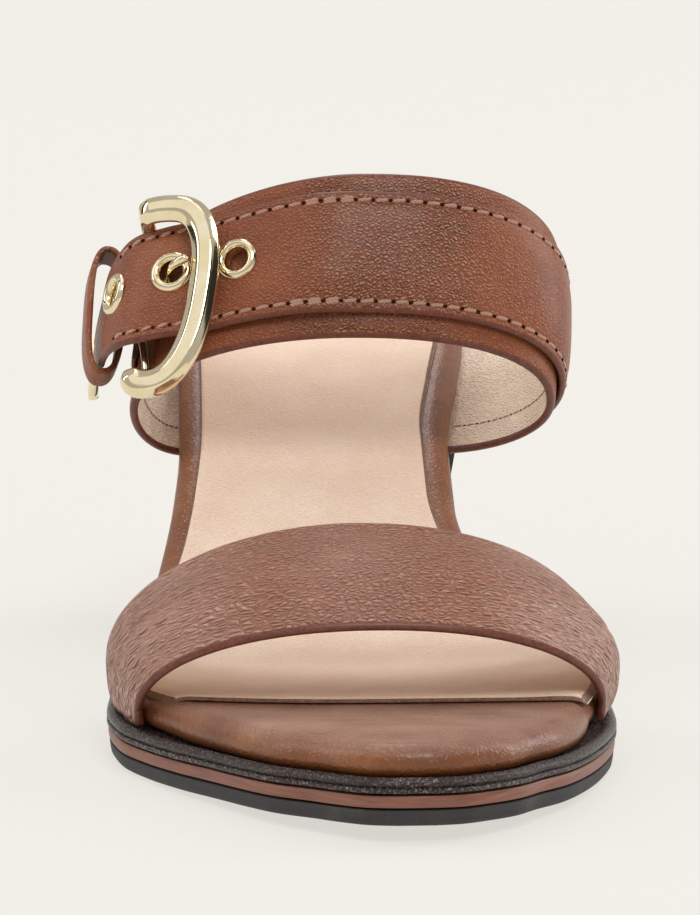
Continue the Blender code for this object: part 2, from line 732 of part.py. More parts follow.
def strap_keeper():
    origin, along, rear, out = over_frame(KEEPER_ARC)
    rings = []
    for step in range(KEEPER_STEPS):
        turn = 2 * math.pi * step / KEEPER_STEPS
        reach = math.copysign(abs(math.cos(turn)) ** KEEPER_SIDE_POWER, math.cos(turn))
        lift = math.copysign(abs(math.sin(turn)) ** KEEPER_RISE_POWER, math.sin(turn))
        height = KEEPER_CENTRE + lift * (KEEPER_OVER if lift > 0 else KEEPER_UNDER)
        ring = []
        for share, half in KEEPER_SECTION:
            b = KEEPER_OFF_ACROSS + reach * KEEPER_HALF_ACROSS + math.cos(turn) * share * KEEPER_WALL
            n = height + math.sin(turn) * share * KEEPER_WALL
            ring.append(origin + rear * b + out * n + along * half * KEEPER_HALF_LONG)
        rings.append(ring)
    return loft("strap_keeper", rings, STRAP_LEATHER, closed=True)


def strap_tip():
    grid = []
    for arc in np.linspace(TIP_END, TIP_START, TIP_STEPS):
        row = []
        for side in np.linspace(-1, 1, TIP_ACROSS):
            across = EYELET_ACROSS + TIP_HALF * side + over_row("drift", arc)
            point, _, _, out = instep_frame(arc, across)
            row.append(point + out * (over_row("lift", arc) + 0.5 * (OVER_WALL + TIP_WALL)))
        grid.append(row)
    return shell("strap_tip", np.array(grid), TIP_WALL, BRASS)


def buckle_tab():
    arcs = column(TAB_ROWS, "arc")
    grid = []
    for arc in np.linspace(arcs[-1], arcs[0], TAB_STEPS):
        row = []
        for across in np.linspace(TAB_FRONT, TAB_REAR, TAB_ACROSS):
            point, _, _, out = instep_frame(arc, across)
            row.append(point + out * (float(curve(arcs, column(TAB_ROWS, "lift"), arc)) + TAB_WALL))
        grid.append(row)
    return shell("buckle_tab", np.array(grid), TAB_WALL, STRAP_LEATHER)


def main():
    for stale in list(bpy.data.objects):
        bpy.data.objects.remove(stale, do_unlink=True)
    for title in ("slide_sandal", "cutters"):
        group = bpy.data.collections.new(title)
        bpy.context.scene.collection.children.link(group)
    sole_layer("outsole", OUTSOLE_EDGE, RUBBER)
    sole_layer("midsole", MIDSOLE_EDGE, SOLE_LEATHER)
    sole_layer("welt", WELT_EDGE, WELT_LEATHER)
    footbed()
    insole()
    heel()
    heel_top_piece()
    strap("vamp_strap", VAMP_ROWS, vamp_end, VAMP_UNDER, VAMP_LEATHER)
    strap("instep_strap", INSTEP_ROWS, instep_end, INSTEP_UNDER, STRAP_LEATHER)
    buckle_strap()
    eyelets()
    buckle_frame()
    buckle_prong()
    strap_keeper()
    strap_tip()
    buckle_tab()


if __name__ == "__main__":
    main()
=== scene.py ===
"""Looks of the two-strap heeled slide sandal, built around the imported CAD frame."""

import math
from collections import namedtuple

import bpy
import numpy as np
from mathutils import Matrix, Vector


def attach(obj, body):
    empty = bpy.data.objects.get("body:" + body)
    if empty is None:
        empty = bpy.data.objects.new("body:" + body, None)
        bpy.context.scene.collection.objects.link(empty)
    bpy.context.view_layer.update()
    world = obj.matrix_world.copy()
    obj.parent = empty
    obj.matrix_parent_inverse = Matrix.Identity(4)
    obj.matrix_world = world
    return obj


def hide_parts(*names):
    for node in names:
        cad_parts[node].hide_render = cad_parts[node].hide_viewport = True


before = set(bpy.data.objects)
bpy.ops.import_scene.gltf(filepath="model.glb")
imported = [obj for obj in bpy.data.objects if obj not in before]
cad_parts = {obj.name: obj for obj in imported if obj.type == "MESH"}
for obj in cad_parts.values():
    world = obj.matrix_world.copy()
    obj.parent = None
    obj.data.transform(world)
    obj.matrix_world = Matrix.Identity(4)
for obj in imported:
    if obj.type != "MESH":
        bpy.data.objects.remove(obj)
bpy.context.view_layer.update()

MM = 0.001
GAP = 0.3
SHARP_DEG = 40.0
SHIFT = np.array((1.63, -118.44, 0.0))

# Plan of the footbed from toe tip to heel, and how far the welt stands out.
PlanRow = namedtuple("PlanRow", "y lateral medial reach pull puff")
PLAN = [
    PlanRow(2.3, 2.5, 8.0, 4.0, 0.0, 1.8),
    PlanRow(3.2, -1.5, 12.0, 4.0, 0.0, 1.8),
    PlanRow(6.5, -6.0, 17.0, 4.0, 0.0, 1.8),
    PlanRow(10.5, -10.0, 21.5, 4.0, 0.0, 1.8),
    PlanRow(16.5, -16.5, 25.5, 4.0, 0.0, 1.8),
    PlanRow(23.0, -21.0, 30.5, 4.0, 0.0, 1.8),
    PlanRow(32.0, -26.5, 35.0, 4.0, 0.0, 1.6),
    PlanRow(42.0, -32.5, 38.4, 4.2, 0.0, 0.9),
    PlanRow(52.0, -37.5, 41.0, 4.4, 0.0, 0.0),
    PlanRow(62.0, -41.6, 43.4, 4.4, 0.8, 0.0),
    PlanRow(74.0, -43.2, 45.0, 4.4, 2.0, 0.0),
    PlanRow(88.0, -43.3, 41.2, 3.6, 0.7, 0.0),
    PlanRow(102.0, -41.8, 34.0, 1.5, 0.0, 0.0),
    PlanRow(118.0, -37.5, 27.0, -1.5, 0.0, 0.0),
    PlanRow(135.0, -34.0, 22.7, -3.0, 0.0, 0.0),
    PlanRow(152.0, -32.2, 22.6, -3.0, 0.0, 0.0),
    PlanRow(170.0, -31.8, 25.2, -3.0, 0.0, 0.0),
    PlanRow(190.0, -31.5, 28.5, -2.5, 0.0, 0.0),
    PlanRow(210.0, -30.0, 30.0, -1.5, 0.0, 0.0),
    PlanRow(225.0, -26.0, 27.5, -1.0, 0.0, 0.0),
    PlanRow(233.5, -19.0, 21.5, -1.0, 0.0, 0.0),
    PlanRow(237.5, -11.0, 13.0, -1.0, 0.0, 0.0),
    PlanRow(238.5, -3.0, 5.0, -1.0, 0.0, 0.0),
]

# Height of the tread over the floor and the thickness of each layer along the sole.
ProfileRow = namedtuple("ProfileRow", "y tread outsole midsole welt pad dish")
PROFILE = [
    ProfileRow(-6.0, 3.2, 3.0, 2.3, 2.0, 6.0, -0.4),
    ProfileRow(14.0, 1.9, 3.0, 2.3, 2.0, 6.0, -0.4),
    ProfileRow(28.0, 1.1, 3.0, 2.3, 2.0, 6.0, -0.4),
    ProfileRow(42.0, 0.4, 3.0, 2.3, 2.0, 6.0, 0.0),
    ProfileRow(55.0, 0.0, 3.0, 2.3, 2.0, 6.0, 0.3),
    ProfileRow(84.0, 0.0, 3.0, 2.3, 2.0, 6.0, 0.8),
    ProfileRow(100.0, 5.2, 2.4, 2.0, 1.7, 6.0, 1.0),
    ProfileRow(115.0, 14.0, 1.8, 1.7, 1.4, 6.0, 1.2),
    ProfileRow(130.0, 24.3, 1.6, 1.5, 1.2, 6.0, 1.2),
    ProfileRow(150.0, 36.0, 1.6, 1.5, 1.2, 6.0, 1.2),
    ProfileRow(170.0, 45.4, 1.6, 1.5, 1.2, 6.0, 1.4),
    ProfileRow(190.0, 52.4, 1.6, 1.5, 1.2, 6.0, 1.6),
    ProfileRow(210.0, 57.3, 1.6, 1.5, 1.2, 6.0, 1.6),
    ProfileRow(225.0, 60.0, 1.6, 1.5, 1.2, 6.0, 1.4),
    ProfileRow(245.0, 62.0, 1.6, 1.5, 1.2, 6.0, 1.2),
]
PLAN_STATIONS = 221
DISH_START = (5.0, 16.0)

# Edge shapes of the layers: inset from the welt line, share of the thickness and material zone.
EdgeRow = namedtuple("EdgeRow", "inset share zone")
OUTSOLE_EDGE = [
    EdgeRow(2.4, 0.0, 0), EdgeRow(1.6, 0.04, 0), EdgeRow(1.1, 0.14, 0), EdgeRow(0.8, 0.3, 0),
    EdgeRow(0.65, 0.55, 0), EdgeRow(0.55, 0.85, 0), EdgeRow(0.6, 0.95, 0), EdgeRow(0.9, 1.0, 0),
]
MIDSOLE_EDGE = [
    EdgeRow(0.9, 0.0, 0), EdgeRow(0.5, 0.06, 0), EdgeRow(0.35, 0.3, 0), EdgeRow(0.3, 0.5, 0),
    EdgeRow(0.35, 0.75, 0), EdgeRow(0.5, 0.94, 0), EdgeRow(0.9, 1.0, 0),
]
WELT_EDGE = [
    EdgeRow(0.6, 0.0, 0), EdgeRow(0.15, 0.05, 0), EdgeRow(0.0, 0.16, 0), EdgeRow(0.0, 0.32, 0),
    EdgeRow(0.1, 0.46, 0), EdgeRow(0.5, 0.53, 0), EdgeRow(0.5, 0.57, 1), EdgeRow(0.15, 0.66, 1),
    EdgeRow(0.0, 0.82, 1), EdgeRow(0.05, 1.0, 1), EdgeRow(0.3, 1.2, 1), EdgeRow(0.8, 1.36, 1),
    EdgeRow(1.4, 1.4, 1), EdgeRow(2.0, 1.32, 1), EdgeRow(2.5, 1.14, 1), EdgeRow(2.8, 0.99, 1),
    EdgeRow(3.4, 0.97, 1),
]
PROUD_REACH = (0.5, 3.5)

# Padded footbed and the sheet on it.
ROLL_DEPTH = 4.0
ROLL_LOW_DEG = -50.0
ROLL_STEPS = 14
ROLL_CENTRE = 0.38
TOP_STEPS = 40
INSOLE_FIRST_ROW = 7.6
INSOLE_BOW_ROWS = 3.0
INSOLE_BOW_LATERAL = 5.0
INSOLE_BOW_MEDIAL = -1.0
INSOLE_THICK = 0.8
INSOLE_LATERAL_BAND = 4.2
INSOLE_MEDIAL_BAND = 5.2
INSOLE_FRONT_BAND = 0.2
INSOLE_BAND_ROWS = (11.0, 13.4)
INSOLE_BEND = 0.4
INSOLE_EDGE_SHARE = 0.35
INSOLE_EDGE_WIDE = 0.9
INSOLE_FRONT_SHARE = 0.2
INSOLE_FRONT_ROWS = 0.1
INSOLE_STATIONS = 260
INSOLE_STEPS = 80
INSOLE_BORDER_STEPS = 6

# Soft troughs across the toe wrap and low ridges across the sheet on lines that bend toward the heel.
Fold = namedtuple("Fold", "centre bend height width")
TOE_TROUGHS = [Fold(27.0, 0.004, -0.16, 2.2), Fold(33.0, 0.003, -0.22, 1.6), Fold(21.0, 0.005, -0.1, 2.6)]
TOE_MIDDLE = 6.0
INSOLE_RIDGES = [
    Fold(38.2, 0.0035, 0.28, 0.5),
    Fold(40.6, 0.003, 0.4, 0.7),
    Fold(44.5, 0.003, 0.3, 1.2),
    Fold(49.0, 0.002, 0.2, 2.2),
]
INSOLE_MIDDLE = 2.0
RIDGE_WANDER = 0.5
WANDER_LONG = 9.0
WANDER_SEED = 4

# Block heel and its top piece.
HEEL_FIRST_ROW = 17.0
HEEL_BREAST_TOP = 180.0
HEEL_BREAST_FLOOR = 190.0
HEEL_BACK_FLOOR = 228.0
HEEL_TOP_INSET = 0.8
HEEL_WIDE_Y = 200.0
HEEL_FLOOR_HALF = 21.0
HEEL_FLOOR_CENTRE = -0.5
HEEL_POWER = 0.8
HEEL_STEPS = 40
HEEL_RING = 120
TOP_PIECE = 4.0
TOP_PIECE_LIP = 0.4
TOP_PIECE_LEVELS = [
    (0.0, TOP_PIECE_LIP), (0.12, 0.12), (TOP_PIECE_LIP, 0.0), (TOP_PIECE - 0.3, 0.0), (TOP_PIECE, 0.25),
]

# Straps: one row per line across the strap, from its front edge to its rear edge.
StrapRow = namedtuple(
    "StrapRow",
    "across y_side y_crown y_end lateral medial z_side z_crown tuck_lateral tuck_medial "
    "power_lateral power_medial",
)
VAMP_ROWS = [
    StrapRow(0.0, 56.0, 40.0, 57.0, -42.5, 44.3, 11.5, 30.6, 0.6, 0.6, 2.15, 2.15),
    StrapRow(0.5, 74.0, 57.5, 75.0, -47.3, 48.6, 15.0, 38.3, 2.8, 4.0, 2.05, 2.15),
    StrapRow(1.0, 92.0, 76.0, 95.0, -47.6, 45.8, 15.5, 43.5, 3.6, 7.0, 1.95, 2.1),
]
INSTEP_ROWS = [
    StrapRow(0.0, 146.0, 130.0, 158.0, -42.5, 43.7, 54.0, 71.3, 12.5, 22.7, 2.0, 2.25),
    StrapRow(0.5, 156.5, 137.0, 178.0, -39.8, 45.8, 66.8, 87.4, 9.5, 20.2, 1.85, 2.3),
    StrapRow(1.0, 167.0, 144.0, 206.0, -39.0, 46.6, 80.0, 102.6, 8.5, 17.0, 1.78, 2.35),
]
STRAP_WALL = 1.8
VAMP_UNDER = 0.75
INSTEP_UNDER = 1.0
INSTEP_SINK = 0.45
STRAP_LENGTH = 34.0
VAMP_WIDTH = 36.0
VAMP_STATIONS = 330
VAMP_STEPS = 100
INSTEP_STATIONS = 260
SKIVE_REACH = 2.2

# Buckle strap on the instep strap, measured along its middle from the crown.
OVER_FRONT = 0.13
OVER_REAR = 0.865
OVER_WALL = 1.6
OVER_WIDTH = 25.0
OVER_STATIONS = 300
OVER_START = -88.0
OVER_END = 64.0
OVER_TAPER = 41.0
OVER_TAPER_POWER = 1.6
OVER_TIP_SHARE = 0.34
OverRow = namedtuple("OverRow", "arc lift drift")
OVER_ROWS = [
    OverRow(-100.0, 0.3, 0.0),
    OverRow(-6.0, 0.3, 0.0),
    OverRow(8.0, 1.2, 0.0),
    OverRow(18.0, 0.9, 0.0),
    OverRow(26.0, 0.8, 0.005),
    OverRow(31.0, 1.6, 0.015),
    OverRow(38.0, 4.2, 0.035),
    OverRow(46.0, 6.4, 0.075),
    OverRow(53.0, 6.4, 0.09),
    OverRow(62.0, 8.2, 0.075),
    OverRow(80.0, 14.0, -0.02),
]
EYELET_ARCS = (23.6, 36.2, 48.2)
EYELET_ACROSS = 0.53
EYELET_HOLE = 3.0
PUNCH_HEIGHTS = (-4.8, 1.6)
PUNCH_STEPS = 40

# Eyelet: ring profile as radius and height over the strap.
EYELET_PROFILE = [
    (2.3, -1.9), (2.7, -1.9), (2.7, 0.05), (4.3, 0.05), (4.42, 0.2), (4.38, 0.5), (4.15, 0.85), (3.8, 1.1),
    (3.4, 1.2), (3.0, 1.12), (2.65, 0.85), (2.42, 0.4), (2.3, -0.2),
]
EYELET_STEPS = 64

# Buckle in its own plane at the middle eyelet: along the strap, across it and over it.
FRAME_TURN_DEG = 10.0
FRAME_HALF_NEAR = 9.4
FRAME_HALF_HINGE = 7.5
FRAME_HALF_ACROSS = 19.3
FRAME_OFF_ALONG = 0.9
FRAME_OFF_ACROSS = -6.5
FRAME_POWER_REAR = 3.0
FRAME_POWER_NEAR = 2.6
FRAME_POWER_FRONT = 2.3
FRAME_SKEW = 0.9
FRAME_TILT = 2.6
FRAME_STEPS = 200
FRAME_FAR = 3.3
FRAME_HINGE = -7.0
FRAME_BAR = 2.9
FRAME_TALL = 1.7
HINGE_BAR = 1.15
HINGE_START = 0.45
HINGE_FULL = 0.8
FRAME_CORNERS = [
    (-1.0, -0.4), (-0.6, -1.0), (0.5, -1.0), (1.0, -0.5), (1.02, 0.0),
    (0.62, 0.88), (0.2, 1.0), (-0.35, 1.0), (-1.0, 0.2),
]
FRAME_ROUND = 0.32
FRAME_ROUND_STEPS = 6
FRAME_SHARP_DEG = 60.0
ProngRow = namedtuple("ProngRow", "along over radius")
PRONG = [
    ProngRow(8.2, -7.1, 0.7),
    ProngRow(6.3, -6.8, 0.8),
    ProngRow(3.4, -5.0, 0.8),
    ProngRow(1.2, -2.2, 0.8),
    ProngRow(0.0, 0.6, 0.8),
    ProngRow(-1.4, 2.6, 0.85),
    ProngRow(-3.2, 3.6, 0.95),
    ProngRow(-4.9, 4.0, 0.8),
]
PRONG_TURN_DEG = -8.0
PRONG_SIDES = 20
PRONG_STEPS = 60

# Keeper loop, strap tip and buckle tab.
KEEPER_ARC = 56.6
KEEPER_HALF_ACROSS = 13.7
KEEPER_OFF_ACROSS = 2.9
KEEPER_CENTRE = -0.5
KEEPER_OVER = 2.5
KEEPER_UNDER = 3.0
KEEPER_HALF_LONG = 3.2
KEEPER_WALL = 1.4
KEEPER_SIDE_POWER = 0.62
KEEPER_RISE_POWER = 0.75
KEEPER_RADIUS = 9.0
KEEPER_STEPS = 120
TIP_START = 64.4
TIP_END = 73.0
TIP_HALF = 0.16
TIP_WALL = 2.4
TIP_WIDTH = 9.0
TIP_ROUND = 4.0
TIP_STATIONS = 40
TabRow = namedtuple("TabRow", "arc lift")
TAB_ROWS = [TabRow(53.0, 0.5), TabRow(56.0, 0.4), TabRow(60.0, 0.3), TabRow(80.0, 0.3)]
TAB_FRONT = 0.32
TAB_REAR = 0.72
TAB_WALL = 1.0
TAB_WIDTH = 13.0
TAB_STATIONS = 60


def curve(knots, values, at):
    """Smooth curve through the rows that never overshoots one."""
    knots = np.asarray(knots, float)
    values = np.asarray(values, float)
    at = np.asarray(at, float)
    step = np.diff(knots)
    slope = np.diff(values) / step
    tangent = np.concatenate([slope[:1], np.zeros(len(step) - 1), slope[-1:]])
    near = 2 * step[1:] + step[:-1]
    far = step[1:] + 2 * step[:-1]
    for i in range(len(step) - 1):
        if slope[i] * slope[i + 1] > 0:
            tangent[i + 1] = (near[i] + far[i]) / (near[i] / slope[i] + far[i] / slope[i + 1])
    i = np.clip(np.searchsorted(knots, at, side="right") - 1, 0, len(step) - 1)
    u = (at - knots[i]) / step[i]
    return (
        values[i] * (1 + 2 * u) * (1 - u) ** 2
        + tangent[i] * step[i] * u * (1 - u) ** 2
        + values[i + 1] * u ** 2 * (3 - 2 * u)
        + tangent[i + 1] * step[i] * u ** 2 * (u - 1)
    )


def smooth(low, high, value):
    """Soft step from 0 at low to 1 at high."""
    share = np.clip((np.asarray(value, float) - low) / (high - low), 0.0, 1.0)
    return share * share * (3 - 2 * share)


def column(table, name):
    return [getattr(row, name) for row in table]


def profile(name, y):
    return curve(column(PROFILE, "y"), column(PROFILE, name), y)


def plan(name, t):
    return curve(range(len(PLAN)), column(PLAN, name), t)


def welt_reach(side, t):
    """How far the welt stands out from the footbed's edge."""
    return plan("reach", t) - (plan("pull", t) if side == "medial" else 0.0)


def plan_points(side, t, inset):
    """Points of the plan outline moved inward along its own normal."""
    nudge = 0.02
    lower = np.maximum(t - nudge, 0.0)
    upper = np.minimum(t + nudge, len(PLAN) - 1.0)
    sign = 1.0 if side == "lateral" else -1.0
    along_x = plan(side, upper) - plan(side, lower)
    along_y = plan("y", upper) - plan("y", lower)
    length = np.hypot(along_x, along_y)
    x = plan(side, t) + sign * inset * along_y / length
    y = plan("y", t) - sign * inset * along_x / length
    return x, y


def layer_bottom(name, y):
    height = profile("tread", y)
    for below in ("outsole", "midsole", "welt", "pad"):
        if below == name:
            return height
        height = height + profile(below, y) + GAP
    return height


def layer_top(name, y):
    return layer_bottom(name, y) + profile(name, y)


def unit(vectors):
    return vectors / np.linalg.norm(vectors, axis=-1, keepdims=True)


def run_length(points):
    """Distance along a line of points from its first one."""
    return np.concatenate([[0.0], np.cumsum(np.linalg.norm(np.diff(points, axis=0), axis=1))])


def add_object(name, data):
    made = bpy.data.objects.new(name, data)
    bpy.context.scene.collection.objects.link(made)
    return made


def piece(name, points, faces, materials, zones=None, uv=None, sharp_deg=SHARP_DEG):
    """Mesh in the row frame from points in design millimetres, riding on the part's one body."""
    mesh = bpy.data.meshes.new(name)
    placed = (np.asarray(points, float).reshape(-1, 3) + SHIFT) * MM
    mesh.from_pydata(placed.tolist(), [], [tuple(face) for face in faces])
    for material in materials:
        mesh.materials.append(material)
    if zones is not None:
        mesh.polygons.foreach_set("material_index", np.asarray(zones, np.int32))
    if uv is not None:
        layer = mesh.uv_layers.new(name="uv")
        index = np.zeros(len(mesh.loops), np.int32)
        mesh.loops.foreach_get("vertex_index", index)
        flat = np.asarray(uv, np.float32).reshape(-1, 2)[index]
        layer.data.foreach_set("uv", flat.ravel())
    mesh.update()
    mesh.shade_smooth()
    mesh.set_sharp_from_angle(angle=math.radians(sharp_deg))
    made = add_object(name, mesh)
    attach(made, "root")
    return made


def dressed(node, points, faces, materials, zones=None, uv=None, sharp_deg=SHARP_DEG):
    """Piece that stands for one CAD node."""
    made = piece(node + "_visual", points, faces, materials, zones, uv, sharp_deg)
    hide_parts(node)
    return made


def grid_faces(rows, count, wrap_rows=False):
    """Quads between closed rings of points; the zone of a face is that of its ring position."""
    faces = []
    for r in range(rows if wrap_rows else rows - 1):
        here = r * count
        below = ((r + 1) % rows) * count
        for k in range(count):
            after = (k + 1) % count
            faces.append((here + k, below + k, below + after, here + after))
    return faces


def strip_caps(rows, count):
    """Strips of quads that close the first and the last ring across their two mirrored halves."""
    faces = []
    last = (rows - 1) * count
    for k in range(count // 2):
        face = [k, k + 1, count - 2 - k, count - 1 - k]
        face = [v for n, v in enumerate(face) if v not in face[:n]]
        if len(face) > 2:
            faces.append(tuple(face))
            faces.append(tuple(last + v for v in face)[::-1])
    return faces


def closed_faces(rings):
    """Quads round all the rings and over the first and the last one."""
    rows, count = rings.shape[:2]
    return grid_faces(rows, count) + strip_caps(rows, count)


def sole_layer(name, edge, materials):
    t = np.linspace(0, len(PLAN) - 1, PLAN_STATIONS)
    sides = {}
    for side in ("lateral", "medial"):
        columns = []
        for row in edge:
            x, y = plan_points(side, t, row.inset - welt_reach(side, t))
            proud = smooth(*PROUD_REACH, welt_reach(side, t)) * max(row.share - 1.0, 0.0)
            z = layer_bottom(name, y) + (min(row.share, 1.0) + proud) * profile(name, y)
            columns.append(np.stack([x, y, z], axis=1))
        sides[side] = np.stack(columns, axis=1)
    rings = np.concatenate([sides["medial"], sides["lateral"][:, ::-1]], axis=1)
    rows, count = rings.shape[:2]
    faces = closed_faces(rings)
    ring_zone = column(edge, "zone") + column(edge, "zone")[::-1]
    zones = [ring_zone[n % count] for n in range((rows - 1) * count)]
    zones += [ring_zone[0]] * (len(faces) - len(zones))
    run = run_length(rings[:, 0])
    across = run_length(rings[rows // 2])
    uv = np.stack(np.broadcast_arrays(run[:, None], across[None, :]), axis=-1)
    dressed(name, rings, faces, materials, zones, uv)


def footbed_top(x, y, lateral_x, medial_x):
    across = np.clip((x - lateral_x) / (medial_x - lateral_x), 0.0, 1.0)
    return layer_top("pad", y) - profile("dish", y) * smooth(*DISH_START, y) * 4 * across * (1 - across)


def roll_drop(inset, y):
    """How far the footbed's rolled edge lies under its top, at an inset from the widest line."""
    share = np.clip(1.0 - inset / ROLL_DEPTH, 0.0, 1.0)
    return profile("pad", y) * (1 - ROLL_CENTRE) * (1 - np.sqrt(1 - share ** 2))


def fold_relief(folds, middle, wander, x, y):
    """Height of the folds at a place; wander is how far their lines stray from a plain bend."""
    relief = 0.0
    for fold in folds:
        stray = wander * lattice(x / WANDER_LONG, fold.centre * np.ones_like(x), WANDER_SEED)
        line = fold.centre + fold.bend * (x - middle) ** 2 + stray
        relief = relief + fold.height * np.exp(-((y - line) / fold.width) ** 2)
    return relief


def toe_puff(x, y):
    """Soft swell and shallow creases of the padded toe wrap, in millimetres over the plain top."""
    puff = 0.35 * np.exp(-((y - 14.0) / 9.0) ** 2)
    return (puff + fold_relief(TOE_TROUGHS, TOE_MIDDLE, 0.0, x, y)) * smooth(6.0, 14.0, y)


def footbed(materials):
    t = np.linspace(0, len(PLAN) - 1, PLAN_STATIONS)
    angles = np.radians(np.linspace(ROLL_LOW_DEG, 90.0, ROLL_STEPS))
    low = math.sin(math.radians(-ROLL_LOW_DEG))
    sides = {}
    for side in ("lateral", "medial"):
        columns = []
        for angle in angles:
            x, y = plan_points(side, t, ROLL_DEPTH * (1 - math.cos(angle)) - plan("puff", t))
            pad = profile("pad", y)
            tall = pad * (1 - ROLL_CENTRE) if angle > 0 else pad * ROLL_CENTRE / low
            z = layer_bottom("pad", y) + pad * ROLL_CENTRE + tall * math.sin(angle)
            columns.append(np.stack([x, y, z], axis=1))
        sides[side] = np.stack(columns, axis=1)
    lateral = sides["lateral"][:, -1]
    medial = sides["medial"][:, -1]
    share = np.linspace(0, 1, TOP_STEPS + 1)[1:-1, None, None]
    flat = np.moveaxis(medial[None] + (lateral - medial)[None] * share, 0, 1)
    top = flat.copy()
    top[..., 2] = footbed_top(flat[..., 0], flat[..., 1], lateral[:, None, 0], medial[:, None, 0])
    top[..., 2] += toe_puff(flat[..., 0], flat[..., 1]) * np.sin(np.pi * share[:, 0, 0])[None, :] ** 0.5
    rings = np.concatenate([sides["medial"], top, sides["lateral"][:, ::-1]], axis=1)
    made = dressed("footbed", rings, closed_faces(rings), materials, None, rings[..., :2])


def insole(materials):
    t = np.linspace(INSOLE_FIRST_ROW, len(PLAN) - 1.0, INSOLE_STATIONS)
    bow = np.maximum(0.0, 1.0 - (t - INSOLE_FIRST_ROW) / INSOLE_BOW_ROWS) ** 2
    back = smooth(*INSOLE_BAND_ROWS, t)
    edges = []
    for name, band in (("medial", INSOLE_MEDIAL_BAND), ("lateral", INSOLE_LATERAL_BAND)):
        bare = INSOLE_FRONT_BAND + (band - INSOLE_FRONT_BAND) * back
        edges.append(np.stack(plan_points(name, t, bare), axis=1))
    right, left = edges
    medial_x = plan_points("medial", t, ROLL_DEPTH)[0][:, None]
    lateral_x = plan_points("lateral", t, ROLL_DEPTH)[0][:, None]
    share = 0.5 - 0.5 * np.cos(np.pi * np.linspace(0, 1, INSOLE_STEPS + 1))
    flat = right[:, None] + (left - right)[:, None] * share[None, :, None]
    side = 2 * share - 1
    y = flat[..., 1] + bow[:, None] * np.where(side > 0, INSOLE_BOW_LATERAL, INSOLE_BOW_MEDIAL) * side ** 2
    x = flat[..., 0]
    inset = np.minimum(plan("medial", t)[:, None] - x, x - plan("lateral", t)[:, None])
    drop = INSOLE_BEND * roll_drop(inset + plan("puff", t)[:, None], y)
    low = footbed_top(x, y, lateral_x, medial_x) + GAP - drop
    thick = INSOLE_THICK + insole_creases(x, y)
    edge = np.minimum(np.abs(x - right[:, None, 0]), np.abs(x - left[:, None, 0]))
    front = (t - INSOLE_FIRST_ROW)[:, None] * np.ones_like(x)
    thick *= INSOLE_EDGE_SHARE + (1 - INSOLE_EDGE_SHARE) * smooth(0.0, INSOLE_EDGE_WIDE, edge)
    thick *= INSOLE_FRONT_SHARE + (1 - INSOLE_FRONT_SHARE) * smooth(0.0, INSOLE_FRONT_ROWS, front)
    under = np.stack([x, y, low], axis=-1)
    over = np.stack([x, y, low + thick], axis=-1)
    rings = np.concatenate([under[:, ::-1], over], axis=1)
    rows, count = rings.shape[:2]
    faces = closed_faces(rings)
    k = np.arange(count)
    from_edge = np.minimum(k - INSOLE_STEPS - 1, count - 1 - k)
    border = (from_edge < INSOLE_BORDER_STEPS) & (k > INSOLE_STEPS)
    zones = [1 if border[n % count] or n < count else 0 for n in range((rows - 1) * count)]
    zones += [1] * (len(faces) - len(zones))
    dressed("insole", rings, faces, materials, zones, rings[..., :2])


def insole_creases(x, y):
    """Low ridges across the sheet behind its front edge and a faint hollow under the ball."""
    hollow = -0.25 * np.exp(-(((x - 2.0) / 22.0) ** 2 + ((y - 78.0) / 24.0) ** 2))
    return fold_relief(INSOLE_RIDGES, INSOLE_MIDDLE, RIDGE_WANDER, x, y) + hollow


def heel_rings(shares):
    half = HEEL_RING // 2
    last = len(PLAN) - 1.0
    sides = {}
    for side in ("lateral", "medial"):
        t = np.linspace(HEEL_FIRST_ROW, last, half)
        x_top, y_top = plan_points(side, t, HEEL_TOP_INSET)
        along = (y_top - y_top[0]) / (y_top[-1] - y_top[0])
        y_top = HEEL_BREAST_TOP + (y_top[-1] - HEEL_BREAST_TOP) * along
        y_floor = HEEL_BREAST_FLOOR + (HEEL_BACK_FLOOR - HEEL_BREAST_FLOOR) * along
        wide = [curve(column(PLAN, "y"), column(PLAN, edge), HEEL_WIDE_Y) for edge in ("medial", "lateral")]
        top_half = 0.5 * (wide[0] - wide[1]) - HEEL_TOP_INSET
        x_floor = HEEL_FLOOR_CENTRE + (x_top - HEEL_FLOOR_CENTRE) * HEEL_FLOOR_HALF / top_half
        z_top = layer_bottom("outsole", y_top) - GAP
        z_floor = TOP_PIECE + GAP
        share = np.asarray(shares)[:, None]
        x = x_floor + (x_top - x_floor) * share ** HEEL_POWER
        y = y_floor + (y_top - y_floor) * share ** HEEL_POWER
        z = z_floor + (z_top - z_floor) * share
        sides[side] = np.stack([x, y, z], axis=-1)
    return np.concatenate([sides["lateral"], sides["medial"][:, ::-1]], axis=1)


def heel(materials, rubber):
    rings = heel_rings(np.linspace(0, 1, HEEL_STEPS + 1))
    dressed("heel", rings, closed_faces(rings), materials)
    base = rings[0]
    centre = base.mean(axis=0)
    levels = []
    for z, lip in TOP_PIECE_LEVELS:
        ring = base.copy()
        reach = np.linalg.norm(ring[:, :2] - centre[:2], axis=1)
        ring[:, :2] = centre[:2] + (ring[:, :2] - centre[:2]) * ((reach - lip) / reach)[:, None]
        ring[:, 2] = z
        levels.append(ring)
    rings = np.stack(levels)
    dressed("heel_top_piece", rings, closed_faces(rings), [rubber])


